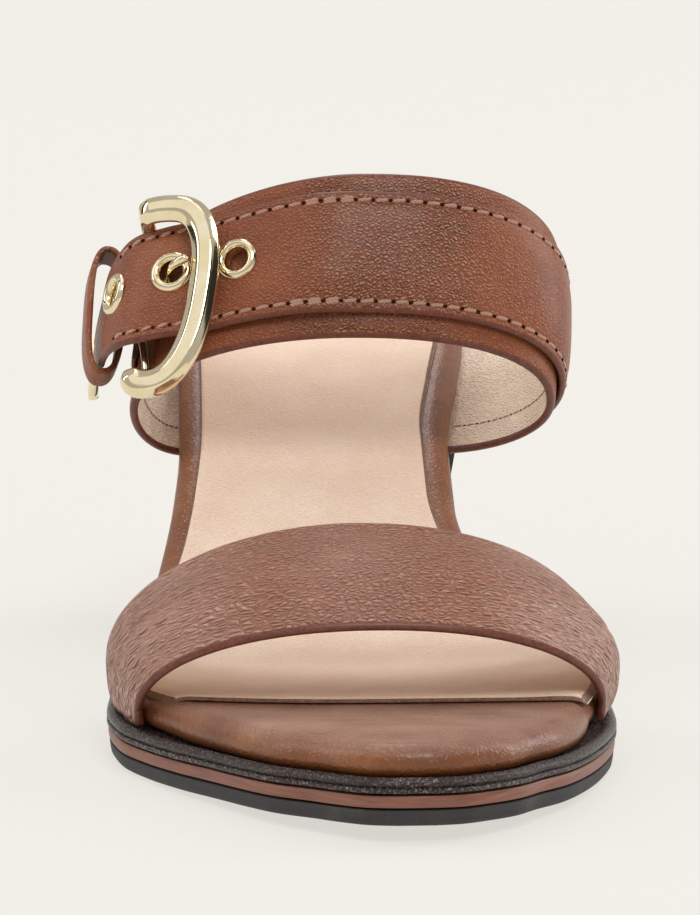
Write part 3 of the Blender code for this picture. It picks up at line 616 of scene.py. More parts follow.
def strap_points(rows, around, across, end):
    """Points on a strap's outer face; around runs -1 to 1 over the top and past 1 under the foot."""
    around, across = np.broadcast_arrays(np.asarray(around, float), np.asarray(across, float))
    value = {name: curve(column(rows, "across"), column(rows, name), across)
             for name in StrapRow._fields if name != "across"}
    lateral = around < 0
    edge = np.where(lateral, value["lateral"], value["medial"])
    power = 2.0 / np.where(lateral, value["power_lateral"], value["power_medial"])
    tuck = np.where(lateral, value["tuck_lateral"], value["tuck_medial"])
    middle = 0.5 * (value["lateral"] + value["medial"])
    turn = np.abs(around)
    over = np.clip(turn, 0.0, 1.0) * math.pi / 2
    under = np.maximum(turn - 1.0, 0.0) * math.pi / 2
    reach = np.sin(over) ** power
    lift = np.maximum(np.cos(over), 0.0) ** power
    drop = np.sin(under)
    x = middle + (edge - middle) * reach - np.sign(edge - middle) * tuck * (1 - np.cos(under))
    y = value["y_side"] + (value["y_crown"] - value["y_side"]) * lift
    y = y + (value["y_end"] - value["y_side"]) * drop
    z = value["z_side"] + (value["z_crown"] - value["z_side"]) * lift
    z = z + (end(value["y_end"]) - value["z_side"]) * drop
    return np.stack([x, y, z], axis=-1)


def vamp_end(y):
    return layer_top("welt", y) + GAP


def instep_end(y):
    return layer_bottom("pad", y) - GAP - STRAP_WALL - INSTEP_SINK


class Band:
    """A strap measured along its middle from the crown, lateral side positive."""

    nudge = 0.5
    turn = 0.02

    def __init__(self, rows, end, under):
        self.rows = rows
        self.end = end
        self.around = np.linspace(-1 - under, 1 + under, 1601)
        line = strap_points(rows, self.around, 0.5, end)
        arc = run_length(line)
        self.arcs = np.interp(0.0, self.around, arc) - arc
        self.low = self.arcs.min() + self.nudge
        self.high = self.arcs.max() - self.nudge

    def at(self, arc, across):
        around = np.interp(-np.asarray(arc, float), -self.arcs, self.around)
        return strap_points(self.rows, around, across, self.end)

    def frame(self, arc, across):
        """Point and its directions: along the arc, toward the rear edge and outward."""
        along = unit(self.at(arc + self.nudge, across) - self.at(arc - self.nudge, across))
        rear = self.at(arc, across + self.turn) - self.at(arc, across - self.turn)
        rear = unit(rear - along * np.sum(rear * along, axis=-1, keepdims=True))
        return self.at(arc, across), along, rear, np.cross(rear, along)


VAMP = Band(VAMP_ROWS, vamp_end, VAMP_UNDER)
INSTEP = Band(INSTEP_ROWS, instep_end, INSTEP_UNDER)


def over_row(name, arc):
    return curve(column(OVER_ROWS, "arc"), column(OVER_ROWS, name), arc)


def over_points(arc, across, height=0.0):
    """Points at a height over the outer face of the buckle strap."""
    arc, across = np.broadcast_arrays(np.asarray(arc, float), np.asarray(across, float))
    drift = over_row("drift", arc) * np.minimum(1.0, across / EYELET_ACROSS)
    point, _, _, out = INSTEP.frame(arc, across + drift)
    return point + out * (over_row("lift", arc) + OVER_WALL + height)[..., None]


def over_frame(arc, degrees=0.0):
    """Frame on the buckle strap's outer face, on the line of its eyelets, turned about the outward one."""
    line = EYELET_ACROSS
    along = unit(over_points(arc + Band.nudge, line) - over_points(arc - Band.nudge, line))
    rear = over_points(arc, line + Band.turn) - over_points(arc, line - Band.turn)
    rear = unit(rear - along * rear.dot(along))
    turn = math.radians(degrees)
    ahead = along * math.cos(turn) + rear * math.sin(turn)
    aside = rear * math.cos(turn) - along * math.sin(turn)
    return over_points(arc, line), ahead, aside, np.cross(rear, along)


def over_share(arc):
    taper = np.clip((np.asarray(arc, float) - OVER_TAPER) / (OVER_END - OVER_TAPER), 0.0, 1.0)
    return 1.0 - (1.0 - OVER_TIP_SHARE) * taper ** OVER_TAPER_POWER


def wall_ring(width, wall, outer, edge, skive):
    """Closed section of a strap: across 0 to 1, depth under the outer face, zone, outer share."""
    radius = 0.5 * wall / width
    turns = np.linspace(0, math.pi, edge + 2)[1:-1]
    flat = np.linspace(radius, 1 - radius, outer)
    bulge = radius * np.sin(turns)
    across = np.concatenate([flat, 1 - radius + bulge, flat[::-1], radius - bulge])
    round_depth = -0.5 * wall + 0.5 * wall * np.cos(turns)
    depth = np.concatenate([np.zeros(outer), round_depth, np.full(outer, -wall), round_depth[::-1]])
    zone = np.concatenate([np.zeros(outer - 1), np.ones(edge + 1), np.full(outer - 1, 2), np.ones(edge + 1)])
    near = np.minimum(across, 1 - across) * width
    top = np.clip(1 + depth / wall, 0, 1)
    depth = depth - skive * top * np.maximum(0.0, 1 - near / SKIVE_REACH) ** 2
    return across, depth, zone.astype(int), top


def strap_mesh(node, surface, arcs, across_range, width, wall, materials, outer=56, edge=8, skive=0.35,
               swell=None, lay=None):
    """Closed strap with rounded edges; surface gives points from arc, across and height."""
    ring, depth, zone, top = wall_ring(width, wall, outer, edge, skive)
    ring, depth, zone, top = (np.roll(values, edge // 2) for values in (ring, depth, zone, top))
    low, high = across_range(arcs[:, None])
    across = low + (high - low) * ring[None, :]
    height = np.broadcast_to(depth[None, :], across.shape)
    if swell is not None:
        height = height + swell(arcs[:, None], across) * top[None, :]
    points = surface(np.broadcast_to(arcs[:, None], across.shape), across, height)
    rows, count = points.shape[:2]
    faces = closed_faces(points)
    zones = [zone[n % count] for n in range((rows - 1) * count)]
    zones += [1] * (len(faces) - len(zones))
    run = arcs if lay is None else lay(arcs)
    uv = np.stack(np.broadcast_arrays(run[:, None], across * STRAP_LENGTH), axis=-1)
    return dressed(node, points, faces, materials, zones, uv)


def band_surface(band):
    def surface(arc, across, height):
        point, _, _, out = band.frame(arc, across)
        return point + out * height[..., None]
    return surface


def whole_width(arcs):
    return np.zeros_like(arcs), np.ones_like(arcs)


def over_width(arcs):
    middle = 0.5 * (OVER_FRONT + OVER_REAR)
    half = 0.5 * (OVER_REAR - OVER_FRONT) * over_share(arcs)
    return middle - half, middle + half


def lattice(x, y, seed):
    """Smooth noise between -1 and 1 on a unit lattice."""
    ix = np.floor(x)
    iy = np.floor(y)
    fx = smooth(0.0, 1.0, x - ix)
    fy = smooth(0.0, 1.0, y - iy)

    def corner(i, j):
        return np.modf(np.sin(i * 12.9898 + j * 78.233 + seed * 37.719) * 437.585)[0]

    low = corner(ix, iy) * (1 - fx) + corner(ix + 1, iy) * fx
    high = corner(ix, iy + 1) * (1 - fx) + corner(ix + 1, iy + 1) * fx
    return low * (1 - fy) + high * fy


def vamp_lay(arc):
    """Run of the grain: pebbles in the middle, drawn out into creases toward the strap's sides."""
    return 0.2 * arc + 7.0 * np.tanh(arc / 22.0)


def vamp_swell(arc, across):
    """Padded middle with creases that wander along the strap, tighter and deeper toward its sides."""
    wide = across * VAMP_WIDTH
    side = smooth(14.0, 46.0, np.abs(arc))
    wander = 2.0 * lattice(arc / 16.0, wide / 9.0, 5)
    folds = lattice(arc / 13.0, (wide + wander) / 1.7, 1)
    creases = lattice(arc / 5.0, (wide + wander) / 1.2, 2)
    body = 0.25 * np.sin(math.pi * across)
    depth = 0.2 * np.exp(-(folds / 0.25) ** 2) * (0.15 + 0.85 * side)
    depth = depth + 0.12 * np.exp(-(creases / 0.28) ** 2) * (0.3 + 0.7 * side)
    edge = smooth(0.5, 3.0, wide) * smooth(0.5, 3.0, VAMP_WIDTH - wide)
    return body + (0.08 * lattice(arc / 7.0, wide / 5.0, 3) - depth) * edge


def instep_swell(arc, across):
    wave = 0.05 * np.sin(arc / 7.0 + 6.0 * across) * np.sin(arc / 23.0 + 2.0)
    return wave * smooth(0.0, 0.2, across) * smooth(0.0, 0.2, 1 - across)


def over_swell(arc, across):
    """Padding between the stitch rows, pulled down along each row of stitches."""
    low, high = over_width(arc)
    near = np.minimum(across - low, high - across) * STRAP_LENGTH
    pull = -0.22 * np.exp(-((near - STITCH_INSET) / 0.7) ** 2)
    body = 0.3 * smooth(STITCH_INSET, STITCH_INSET + 5.0, near)
    wave = 0.06 * np.sin(arc / 5.3 + 4.0 * across) * np.sin(arc / 19.0 + 1.0)
    return pull + body + wave * smooth(2.0, 5.0, near)


def eyelet_punch(origin, out):
    """Cylinder that cuts one eyelet's hole."""
    side = unit(np.cross(out, (0.0, 0.0, 1.0)))
    other = np.cross(out, side)
    turns = np.linspace(0, 2 * math.pi, PUNCH_STEPS, endpoint=False)
    spokes = np.outer(np.cos(turns), side) + np.outer(np.sin(turns), other)
    points = np.concatenate([origin + out * height + spokes * EYELET_HOLE for height in PUNCH_HEIGHTS])
    faces = [tuple(range(PUNCH_STEPS))[::-1], tuple(range(PUNCH_STEPS, 2 * PUNCH_STEPS))]
    for k in range(PUNCH_STEPS):
        after = (k + 1) % PUNCH_STEPS
        faces.append((k, after, after + PUNCH_STEPS, k + PUNCH_STEPS))
    mesh = bpy.data.meshes.new("punch")
    mesh.from_pydata(((points + SHIFT) * MM).tolist(), [], faces)
    return add_object("punch", mesh)


def buckle_strap(materials):
    arcs = np.linspace(OVER_END, OVER_START, OVER_STATIONS)
    made = strap_mesh("buckle_strap", over_points, arcs, over_width, OVER_WIDTH, OVER_WALL, materials,
                      outer=48, skive=0.4, swell=over_swell)
    punches = []
    for arc in EYELET_ARCS:
        origin, _, _, out = over_frame(arc)
        punches.append(eyelet_punch(origin, out))
        hole = made.modifiers.new("hole", "BOOLEAN")
        hole.operation = "DIFFERENCE"
        hole.solver = "EXACT"
        hole.object = punches[-1]
    graph = bpy.context.evaluated_depsgraph_get()
    shaped = made.evaluated_get(graph)
    cut = bpy.data.meshes.new_from_object(shaped, preserve_all_data_layers=True, depsgraph=graph)
    made.modifiers.clear()
    made.data = cut
    for punch in punches:
        bpy.data.objects.remove(punch, do_unlink=True)


def eyelets(materials):
    turns = np.linspace(0, 2 * math.pi, EYELET_STEPS, endpoint=False)
    radii, heights = np.array(EYELET_PROFILE)[::-1].T
    faces = grid_faces(EYELET_STEPS, len(radii), wrap_rows=True)
    for number, arc in enumerate(EYELET_ARCS, 1):
        origin, along, rear, out = over_frame(arc)
        spokes = np.outer(np.cos(turns), along) + np.outer(np.sin(turns), rear)
        points = origin + spokes[:, None] * radii[None, :, None] + out * heights[None, :, None]
        dressed("eyelet_" + str(number), points, faces, materials)


def frame_line(turn):
    rear_power = np.where(np.cos(turn) > 0, FRAME_POWER_REAR, FRAME_POWER_NEAR)
    power = 2.0 / np.where(np.sin(turn) > 0, rear_power, FRAME_POWER_FRONT)
    share = np.sign(np.cos(turn)) * np.abs(np.cos(turn)) ** power
    across = np.sign(np.sin(turn)) * np.abs(np.sin(turn)) ** power
    drop = smooth(HINGE_START, HINGE_FULL, share)
    skew = 1.0 + FRAME_SKEW * across * np.maximum(share, 0.0)
    half = np.where(share > 0, FRAME_HALF_HINGE, FRAME_HALF_NEAR)
    line = np.stack([
        FRAME_OFF_ALONG + half * share * skew,
        FRAME_OFF_ACROSS + FRAME_HALF_ACROSS * across,
        FRAME_FAR + (FRAME_HINGE - FRAME_TILT * across - FRAME_FAR) * drop,
    ], axis=-1)
    return line, drop


def rounded_section(corners, share, steps):
    """Closed section through the corners, each one rounded over a share of its two sides."""
    corners = np.asarray(corners, float)
    points = []
    for before, corner, after in zip(np.roll(corners, 1, axis=0), corners, np.roll(corners, -1, axis=0)):
        start = corner + (before - corner) * share
        stop = corner + (after - corner) * share
        for turn in np.linspace(0.0, 1.0, steps):
            points.append(start * (1 - turn) ** 2 + corner * 2 * turn * (1 - turn) + stop * turn ** 2)
    return np.array(points)


def buckle_frame(materials):
    origin, along, rear, out = over_frame(EYELET_ARCS[1], FRAME_TURN_DEG)
    even = np.linspace(0, 2 * math.pi, 4001)
    line = frame_line(even)[0]
    run = run_length(line)
    turn = np.interp(np.linspace(0, run[-1], FRAME_STEPS, endpoint=False), run, even)
    middle, drop = frame_line(turn)
    ahead = frame_line(turn + 0.01)[0] - frame_line(turn - 0.01)[0]
    spoke = unit(np.stack([ahead[:, 1], -ahead[:, 0], np.zeros(len(turn))], axis=-1))
    crest = unit(np.cross(spoke, ahead))
    wide = (FRAME_BAR + (HINGE_BAR - FRAME_BAR) * drop)[:, None, None]
    tall = (FRAME_TALL + (HINGE_BAR - FRAME_TALL) * drop)[:, None, None]
    u, v = rounded_section(FRAME_CORNERS, FRAME_ROUND, FRAME_ROUND_STEPS)[::-1].T
    local = middle[:, None] + spoke[:, None] * u[None, :, None] * wide
    local = local + crest[:, None] * v[None, :, None] * tall
    points = origin + local @ np.stack([along, rear, out])
    faces = grid_faces(FRAME_STEPS, len(u), wrap_rows=True)
    dressed("buckle_frame", points, faces, materials, sharp_deg=FRAME_SHARP_DEG)


def buckle_prong(materials):
    origin, along, rear, out = over_frame(EYELET_ARCS[1], PRONG_TURN_DEG)
    knots = np.arange(len(PRONG))
    at = np.linspace(0, len(PRONG) - 1, PRONG_STEPS)
    a = curve(knots, column(PRONG, "along"), at)
    n = curve(knots, column(PRONG, "over"), at)
    radius = curve(knots, column(PRONG, "radius"), at)
    tip = np.sqrt(np.clip(1 - smooth(len(PRONG) - 1.35, len(PRONG) - 1, at) ** 2 * 0.97, 0.0, 1.0))
    radius = radius * tip
    da = np.gradient(a)
    dn = np.gradient(n)
    length = np.hypot(da, dn)
    turns = 2 * math.pi * (np.arange(PRONG_SIDES) + 0.5) / PRONG_SIDES
    lift = np.sin(turns)[None, :] * radius[:, None]
    side = np.cos(turns)[None, :] * radius[:, None]
    local_a = a[:, None] - lift * (dn / length)[:, None]
    local_n = n[:, None] + lift * (da / length)[:, None]
    points = origin + local_a[..., None] * along + side[..., None] * rear + local_n[..., None] * out
    dressed("buckle_prong", points, closed_faces(points), materials)


def strap_keeper(materials):
    origin, along, rear, out = over_frame(KEEPER_ARC)
    turn = np.linspace(0, 2 * math.pi, KEEPER_STEPS, endpoint=False)
    reach = np.sign(np.cos(turn)) * np.abs(np.cos(turn)) ** KEEPER_SIDE_POWER
    lift = np.sign(np.sin(turn)) * np.abs(np.sin(turn)) ** KEEPER_RISE_POWER
    height = KEEPER_CENTRE + lift * np.where(lift > 0, KEEPER_OVER, KEEPER_UNDER)
    ring, depth, zone, _ = wall_ring(2 * KEEPER_HALF_LONG, KEEPER_WALL, 14, 8, 0.1)
    share = 1 + depth / KEEPER_WALL
    half = (1 - 2 * ring) * KEEPER_HALF_LONG
    b = KEEPER_OFF_ACROSS + (reach * KEEPER_HALF_ACROSS)[:, None]
    b = b + np.outer(np.cos(turn), share) * KEEPER_WALL
    n = height[:, None] + np.outer(np.sin(turn), share) * KEEPER_WALL
    points = origin + b[..., None] * rear + n[..., None] * out + half[None, :, None] * along
    rows, count = points.shape[:2]
    faces = grid_faces(rows, count, wrap_rows=True)
    zones = [zone[k % count] for k in range(len(faces))]
    uv = np.stack(np.broadcast_arrays(turn[:, None] * KEEPER_RADIUS, half[None, :]), axis=-1)
    dressed("strap_keeper", points, faces, materials, zones, uv)


def strap_tip(materials):
    """Metal cap over the strap's end: rounded at the tip, its rim rolled."""
    arcs = np.linspace(TIP_END, TIP_START, TIP_STATIONS)

    def tip_width(arc):
        taper = np.sqrt(np.clip(1 - smooth(TIP_END - TIP_ROUND, TIP_END, arc) ** 2 * 0.75, 0.0, 1.0))
        return EYELET_ACROSS - TIP_HALF * taper, EYELET_ACROSS + TIP_HALF * taper

    def surface(arc, across, height):
        return over_points(arc, across, height + 0.5 * (TIP_WALL - OVER_WALL))

    strap_mesh("strap_tip", surface, arcs, tip_width, TIP_WIDTH, TIP_WALL, materials, outer=24, skive=0.3)


def buckle_tab(materials):
    arcs = np.linspace(TAB_ROWS[-1].arc, TAB_ROWS[0].arc, TAB_STATIONS)

    def tab_width(arc):
        return np.full_like(arc, TAB_FRONT), np.full_like(arc, TAB_REAR)

    def surface(arc, across, height):
        lift = curve(column(TAB_ROWS, "arc"), column(TAB_ROWS, "lift"), arc)
        return band_surface(INSTEP)(arc, across, height + lift + TAB_WALL)

    strap_mesh("buckle_tab", surface, arcs, tab_width, TAB_WIDTH, TAB_WALL, materials, outer=20, edge=6,
               skive=0.2)


# Stitches: pitch of the rows, size of one thread and of the dark mark between two, painted shade that stands
# for the needle hole.
Thread = namedtuple("Thread", "pitch long radius flat sink")
STITCH = Thread(3.5, 3.0, 0.38, 0.75, 0.22)
LINING_STITCH = Thread(2.6, 1.9, 0.28, 0.7, 0.16)
HOLE = Thread(3.5, 0.9, 0.36, 0.35, 0.0)
LINING_HOLE = Thread(2.6, 0.8, 0.24, 0.35, 0.0)
STITCH_INSET = 2.1
STITCH_SIDES = 8
STITCH_RINGS = 9
STITCH_SLANT = 0.1
DOUBLED = (0.5, 11.5)
DOUBLED_APART = 0.3
STITCH_LIFT = 0.08
STITCH_ARCS = (-84.0, 49.0)
STITCH_STATIONS = 1200
STITCH_NUDGE = 0.3
LINING_ROW = 0.2
LINING_END = 1.0


def capsules(centres, heads, outs, size):
    """Capsules of thread that dip into the leather at both ends."""
    shares = np.linspace(-1, 1, STITCH_RINGS)
    turns = np.linspace(0, 2 * math.pi, STITCH_SIDES, endpoint=False)
    points = []
    faces = []
    for centre, head, out in zip(centres, heads, outs):
        side = np.cross(out, head)
        head = unit(head + side * STITCH_SLANT)
        side = np.cross(out, head)
        base = len(points)
        for share in shares:
            radius = size.radius * max(1 - abs(share) ** 3.5, 0.0) ** 0.5 + 0.02
            sink = size.sink * abs(share) ** 2.2
            for turn in turns:
                spoke = side * math.cos(turn) * radius + out * (math.sin(turn) * radius * size.flat - sink)
                points.append(centre + head * share * size.long / 2 + spoke)
        faces += [tuple(base + v for v in face) for face in grid_faces(STITCH_RINGS, STITCH_SIDES)]
        faces += [tuple(base + v for v in face) for face in strip_caps(STITCH_RINGS, STITCH_SIDES)]
    return points, faces


def stitch_line(name, arcs, position, size, shift, materials, doubled=None):
    """Row along a line on a strap: position gives points and outward directions from arcs."""
    fine = np.linspace(*arcs, STITCH_STATIONS)
    run = run_length(position(fine)[0])
    count = int(run[-1] / size.pitch)
    middles = np.interp((np.arange(count) + 0.5 + shift) * size.pitch, run, fine)
    centres, outs = position(middles)
    ahead = position(middles + STITCH_NUDGE)[0] - position(middles - STITCH_NUDGE)[0]
    heads = unit(ahead - outs * np.sum(ahead * outs, axis=-1, keepdims=True))
    if doubled is not None:
        pair = (middles > doubled[0]) & (middles < doubled[1])
        apart = np.cross(outs, heads) * DOUBLED_APART * pair[:, None]
        centres = np.concatenate([centres + apart, (centres - apart)[pair]])
        heads = np.concatenate([heads, heads[pair]])
        outs = np.concatenate([outs, outs[pair]])
    made, faces = capsules(centres, heads, outs, size)
    piece(name, made, faces, materials)


def over_line(edge, inset):
    """Line on the buckle strap at an inset from its front (0) or rear (1) edge."""
    def position(arc):
        low, high = over_width(arc)
        across = low + inset / STRAP_LENGTH if edge == 0 else high - inset / STRAP_LENGTH
        here = over_points(arc, across, over_swell(arc, across) + STITCH_LIFT)
        out = unit(over_points(arc, across, np.ones_like(arc)) - over_points(arc, across))
        return here, out
    return position


def lining_line(band, across):
    """Line on the inner face of a strap."""
    def position(arc):
        point, _, _, out = band.frame(arc, np.full_like(arc, across))
        return point - out * STRAP_WALL, -out
    return position


def srgb(code):
    """Linear colour from a screen colour code."""
    values = [int(code[n:n + 2], 16) / 255.0 for n in (0, 2, 4)]
    linear = [v / 12.92 if v <= 0.04045 else ((v + 0.055) / 1.055) ** 2.4 for v in values]
    return (*linear, 1.0)


class Paint:
    """Material with a chain of bumps and mixed colours on one principled shader."""

    def __init__(self, name, coords="UV", **sockets):
        self.material = bpy.data.materials.new(name)
        self.material.use_nodes = True
        self.tree = self.material.node_tree
        self.shader = self.tree.nodes["Principled BSDF"]
        for socket, value in sockets.items():
            self.shader.inputs[socket.replace("_", " ")].default_value = value
        place = self.add("TexCoord").outputs[coords]
        scale = (1.0, 1.0, 1.0) if coords == "UV" else (1000.0, 1000.0, 1000.0)
        self.place = self.add("Mapping", Vector=place, Scale=scale).outputs[0]
        self.normal = None

    def add(self, kind, props=None, **inputs):
        made = self.tree.nodes.new("ShaderNode" + kind)
        for key, value in (props or {}).items():
            setattr(made, key, value)
        for key, value in inputs.items():
            self.feed(made.inputs[key.replace("_", " ")], value)
        return made

    def feed(self, socket, value):
        if isinstance(value, bpy.types.NodeSocket):
            self.tree.links.new(value, socket)
        else:
            socket.default_value = value

    def stretch(self, x=1.0, y=1.0, z=1.0):
        return self.add("Mapping", Vector=self.place, Scale=(x, y, z)).outputs[0]

    def noise(self, scale, detail=3.0, vector=None, rough=0.55):
        made = self.add("TexNoise", Vector=vector or self.place, Scale=scale, Detail=detail, Roughness=rough)
        return made.outputs["Fac"]

    def math(self, operation, a, b=0.0):
        made = self.add("Math", {"operation": operation})
        self.feed(made.inputs[0], a)
        self.feed(made.inputs[1], b)
        return made.outputs[0]

    def ranged(self, value, low, high, start=0.0, stop=1.0):
        made = self.add("MapRange", {"interpolation_type": "SMOOTHSTEP"}, Value=value, From_Min=low,
                        From_Max=high, To_Min=start, To_Max=stop)
        return made.outputs[0]

    def mix(self, factor, a, b):
        made = self.add("Mix", {"data_type": "RGBA"})
        self.feed(made.inputs[0], factor)
        self.feed(made.inputs[6], a)
        self.feed(made.inputs[7], b)
        return made.outputs[2]

    def tint(self, value, low, high, start, stop, base, code):
        """Base colour that goes over to another as the value goes from low to high."""
        return self.mix(self.ranged(value, low, high, start, stop), base, srgb(code))

    def bands(self, direction, scale, **inputs):
        props = {"wave_type": "BANDS", "bands_direction": direction}
        return self.add("TexWave", props, Vector=self.place, Scale=scale, **inputs).outputs["Fac"]

    def ramp(self, factor, *stops):
        made = self.add("ValToRGB", Fac=factor)
        elements = made.color_ramp.elements
        while len(elements) < len(stops):
            elements.new(0.5)
        for element, (position, colour) in zip(elements, stops):
            element.position = position
            element.color = srgb(colour)
        return made.outputs[0]

    def cells(self, scale, vector, warp):
        """Cells whose outlines wander: distance to the nearest edge."""
        wander = self.add("TexNoise", Vector=vector, Scale=scale * 0.6, Detail=2.0).outputs["Color"]
        centred = self.add("VectorMath", {"operation": "SUBTRACT"})
        self.feed(centred.inputs[0], wander)
        self.feed(centred.inputs[1], (0.5, 0.5, 0.5))
        scaled = self.add("VectorMath", {"operation": "SCALE"})
        self.feed(scaled.inputs[0], centred.outputs[0])
        self.feed(scaled.inputs["Scale"], warp)
        moved = self.add("VectorMath", {"operation": "ADD"})
        self.feed(moved.inputs[0], vector)
        self.feed(moved.inputs[1], scaled.outputs[0])
        made = self.add("TexVoronoi", {"feature": "DISTANCE_TO_EDGE"}, Vector=moved.outputs[0], Scale=scale)
        return made.outputs["Distance"]

    def run(self):
        """Distance along the strap."""
        return self.add("SeparateXYZ", Vector=self.place).outputs[0]

    def relief(self, scale, vector, warp, step):
        """Slope of the cells across the strap: over a half on the sides that face the light from above."""
        moved = self.add("Mapping", Vector=vector, Location=(0.0, step, 0.0)).outputs[0]
        here = self.ranged(self.cells(scale, vector, warp), 0.0, 0.36)
        above = self.ranged(self.cells(scale, moved, warp), 0.0, 0.36)
        return self.ranged(self.math("SUBTRACT", here, above), -0.5, 0.5)

    def bump(self, height, millimetres, strength=1.0):
        inputs = {"Height": height, "Distance": millimetres * MM, "Strength": strength}
        if self.normal is not None:
            inputs["Normal"] = self.normal
        self.normal = self.add("Bump", **inputs).outputs[0]
        self.feed(self.shader.inputs["Normal"], self.normal)

    def colour(self, value):
        self.feed(self.shader.inputs["Base Color"], value)

    def roughness(self, value):
        self.feed(self.shader.inputs["Roughness"], value)


def pebbled_leather():
    """Shrunken grain: rounded pebbles between narrow grooves, drawn out into creases at the sides."""
    paint = Paint("vamp_leather", Specular_IOR_Level=0.5, Coat_Weight=0.15, Coat_Roughness=0.32)
    side = paint.ranged(paint.math("ABSOLUTE", paint.run()), 8.0, 15.0)
    drawn = paint.stretch(1.35, 1.05)
    pebbles = paint.cells(1.0, drawn, 0.65)
    groove = paint.ranged(pebbles, 0.0, 0.11)
    relief = paint.relief(1.0, drawn, 0.65, 0.2)
    groove_shade_depth = paint.ranged(paint.noise(0.35, 3.0, drawn), 0.35, 0.65, 0.35, 1.0)
    cloud = paint.noise(0.07, 4.0)
    middle = paint.ramp(cloud, (0.3, "7D4122"), (0.5, "894D2E"), (0.7, "955B3D"))
    # Painted sheen: lighter, greyer tones for the strap's sides.
    side_sheen = paint.ramp(cloud, (0.3, "946452"), (0.5, "A17461"), (0.7, "AD8274"))
    body = paint.mix(side, middle, side_sheen)
    # Painted highlight on the upper side of each pebble and painted shade on its lower side.
    lit = paint.tint(relief, 0.5, 1.0, 0.0, 0.42, body, "D2A68E")
    shaded = paint.tint(relief, 0.0, 0.5, 0.5, 0.0, lit, "5C3020")
    # Painted shade in the grooves, deeper in some places than others.
    groove_shade = paint.math("MULTIPLY", paint.ranged(groove, 0.0, 1.0, 0.45, 0.0), groove_shade_depth)
    paint.colour(paint.mix(groove_shade, shaded, srgb("482315")))
    paint.roughness(paint.ranged(groove, 0.0, 1.0, 0.6, 0.34))
    paint.bump(paint.ranged(pebbles, 0.0, 0.4), 0.45, 1.0)
    paint.bump(paint.noise(4.0, 3.0), 0.06, 0.5)
    return paint.material


# Place of the pebbled patch along the straps, with its painted highlights, in millimetres from the crown.
PATCH_RUN = -7.0


def smooth_leather(name, dark, mid, light, roughness=0.34):
    """Glazed leather: fine pores all over and a patch of raised pebbles about one place along the strap."""
    paint = Paint(name, Specular_IOR_Level=0.32, Coat_Weight=0.12, Coat_Roughness=0.22)
    drawn = paint.stretch(0.9, 1.0)
    away = paint.math("ABSOLUTE", paint.math("SUBTRACT", paint.run(), PATCH_RUN))
    uneven = paint.math("MULTIPLY", paint.noise(0.09, 3.0), 16.0)
    patch = paint.ranged(paint.math("ADD", away, uneven), 14.0, 32.0, 1.0, 0.3)
    pebbles = paint.cells(1.3, drawn, 0.7)
    relief = paint.relief(1.3, drawn, 0.7, 0.12)
    groove = paint.ranged(pebbles, 0.02, 0.2)
    pores = paint.ranged(paint.cells(2.4, drawn, 0.5), 0.0, 0.3)
    fine = paint.noise(2.2, 3.0)
    creases = paint.noise(0.4, 4.0, paint.stretch(1.4, 0.4), 0.6)
    cloud = paint.noise(0.06, 4.0)
    body = paint.ramp(cloud, (0.3, dark), (0.5, mid), (0.72, light))
    # Painted shade darkens the fine pore network.
    pored = paint.tint(pores, 0.0, 0.9, 0.25, 0.0, body, "4C2310")
    # Painted highlight on the upper sides of the pebbles in the patch.
    raised = paint.math("MULTIPLY", paint.ranged(relief, 0.45, 0.95, 0.0, 0.42), patch)
    lit = paint.mix(raised, pored, srgb("E2B496"))
    # Painted shade in the grooves of the patch.
    groove_shade = paint.math("MULTIPLY", paint.ranged(groove, 0.0, 1.0, 0.4, 0.0), patch)
    paint.colour(paint.mix(groove_shade, lit, srgb("4A200E")))
    gloss = paint.ranged(patch, 0.3, 1.0, 0.04, -0.1)
    dull = paint.ranged(fine, 0.2, 0.8, roughness - 0.04, roughness + 0.1)
    paint.roughness(paint.math("ADD", dull, gloss))
    paint.bump(creases, 0.8, 0.6)
    paint.bump(paint.math("MULTIPLY", paint.ranged(pebbles, 0.0, 0.4), patch), 0.4, 1.0)
    paint.bump(pores, 0.07, 0.6)
    return paint.material


def cut_edge(name, tone="7A4636", dark="5A2E20", shine=0.15):
    """Painted and folded edge of a strap, polished by its edge paint."""
    paint = Paint(name, "Object", Specular_IOR_Level=2 * shine, Coat_Weight=shine, Coat_Roughness=0.25)
    fibre = paint.noise(1.4, 4.0)
    paint.colour(paint.ramp(fibre, (0.3, dark), (0.7, tone)))
    paint.roughness(paint.ranged(fibre, 0.2, 0.8, 0.34, 0.5))
    paint.bump(fibre, 0.12, 0.5)
    return paint.material


def lining_leather(name, coords, grain, dark, mid, light):
    """Beige lining with fine wavy ridges; coords is the surface's own or the shoe's."""
    paint = Paint(name, coords, Specular_IOR_Level=0.35)
    drawn = paint.stretch(0.7, 1.3, 1.0)
    ridges = paint.cells(1.3, drawn, 1.2)
    relief = paint.relief(1.3, drawn, 1.2, 0.15)
    fine = paint.noise(3.0, 3.0)
    cloud = paint.noise(0.06, 5.0)
    body = paint.ramp(cloud, (0.28, dark), (0.5, mid), (0.7, light))
    # Painted highlight on the ridges' sides that face up and painted shade on the sides that face down;
    # grain scales both, and the ridges' bump.
    lit = paint.tint(relief, 0.55, 1.0, 0.0, 0.45 * grain, body, "FBEBDA")
    paint.colour(paint.tint(relief, 0.0, 0.45, 0.5 * grain, 0.0, lit, "A07C62"))
    paint.roughness(paint.ranged(fine, 0.2, 0.8, 0.48, 0.64))
    paint.bump(paint.ranged(ridges, 0.0, 0.4), 0.3 * grain, 0.8)
    paint.bump(fine, 0.05, 0.4)
    return paint.material


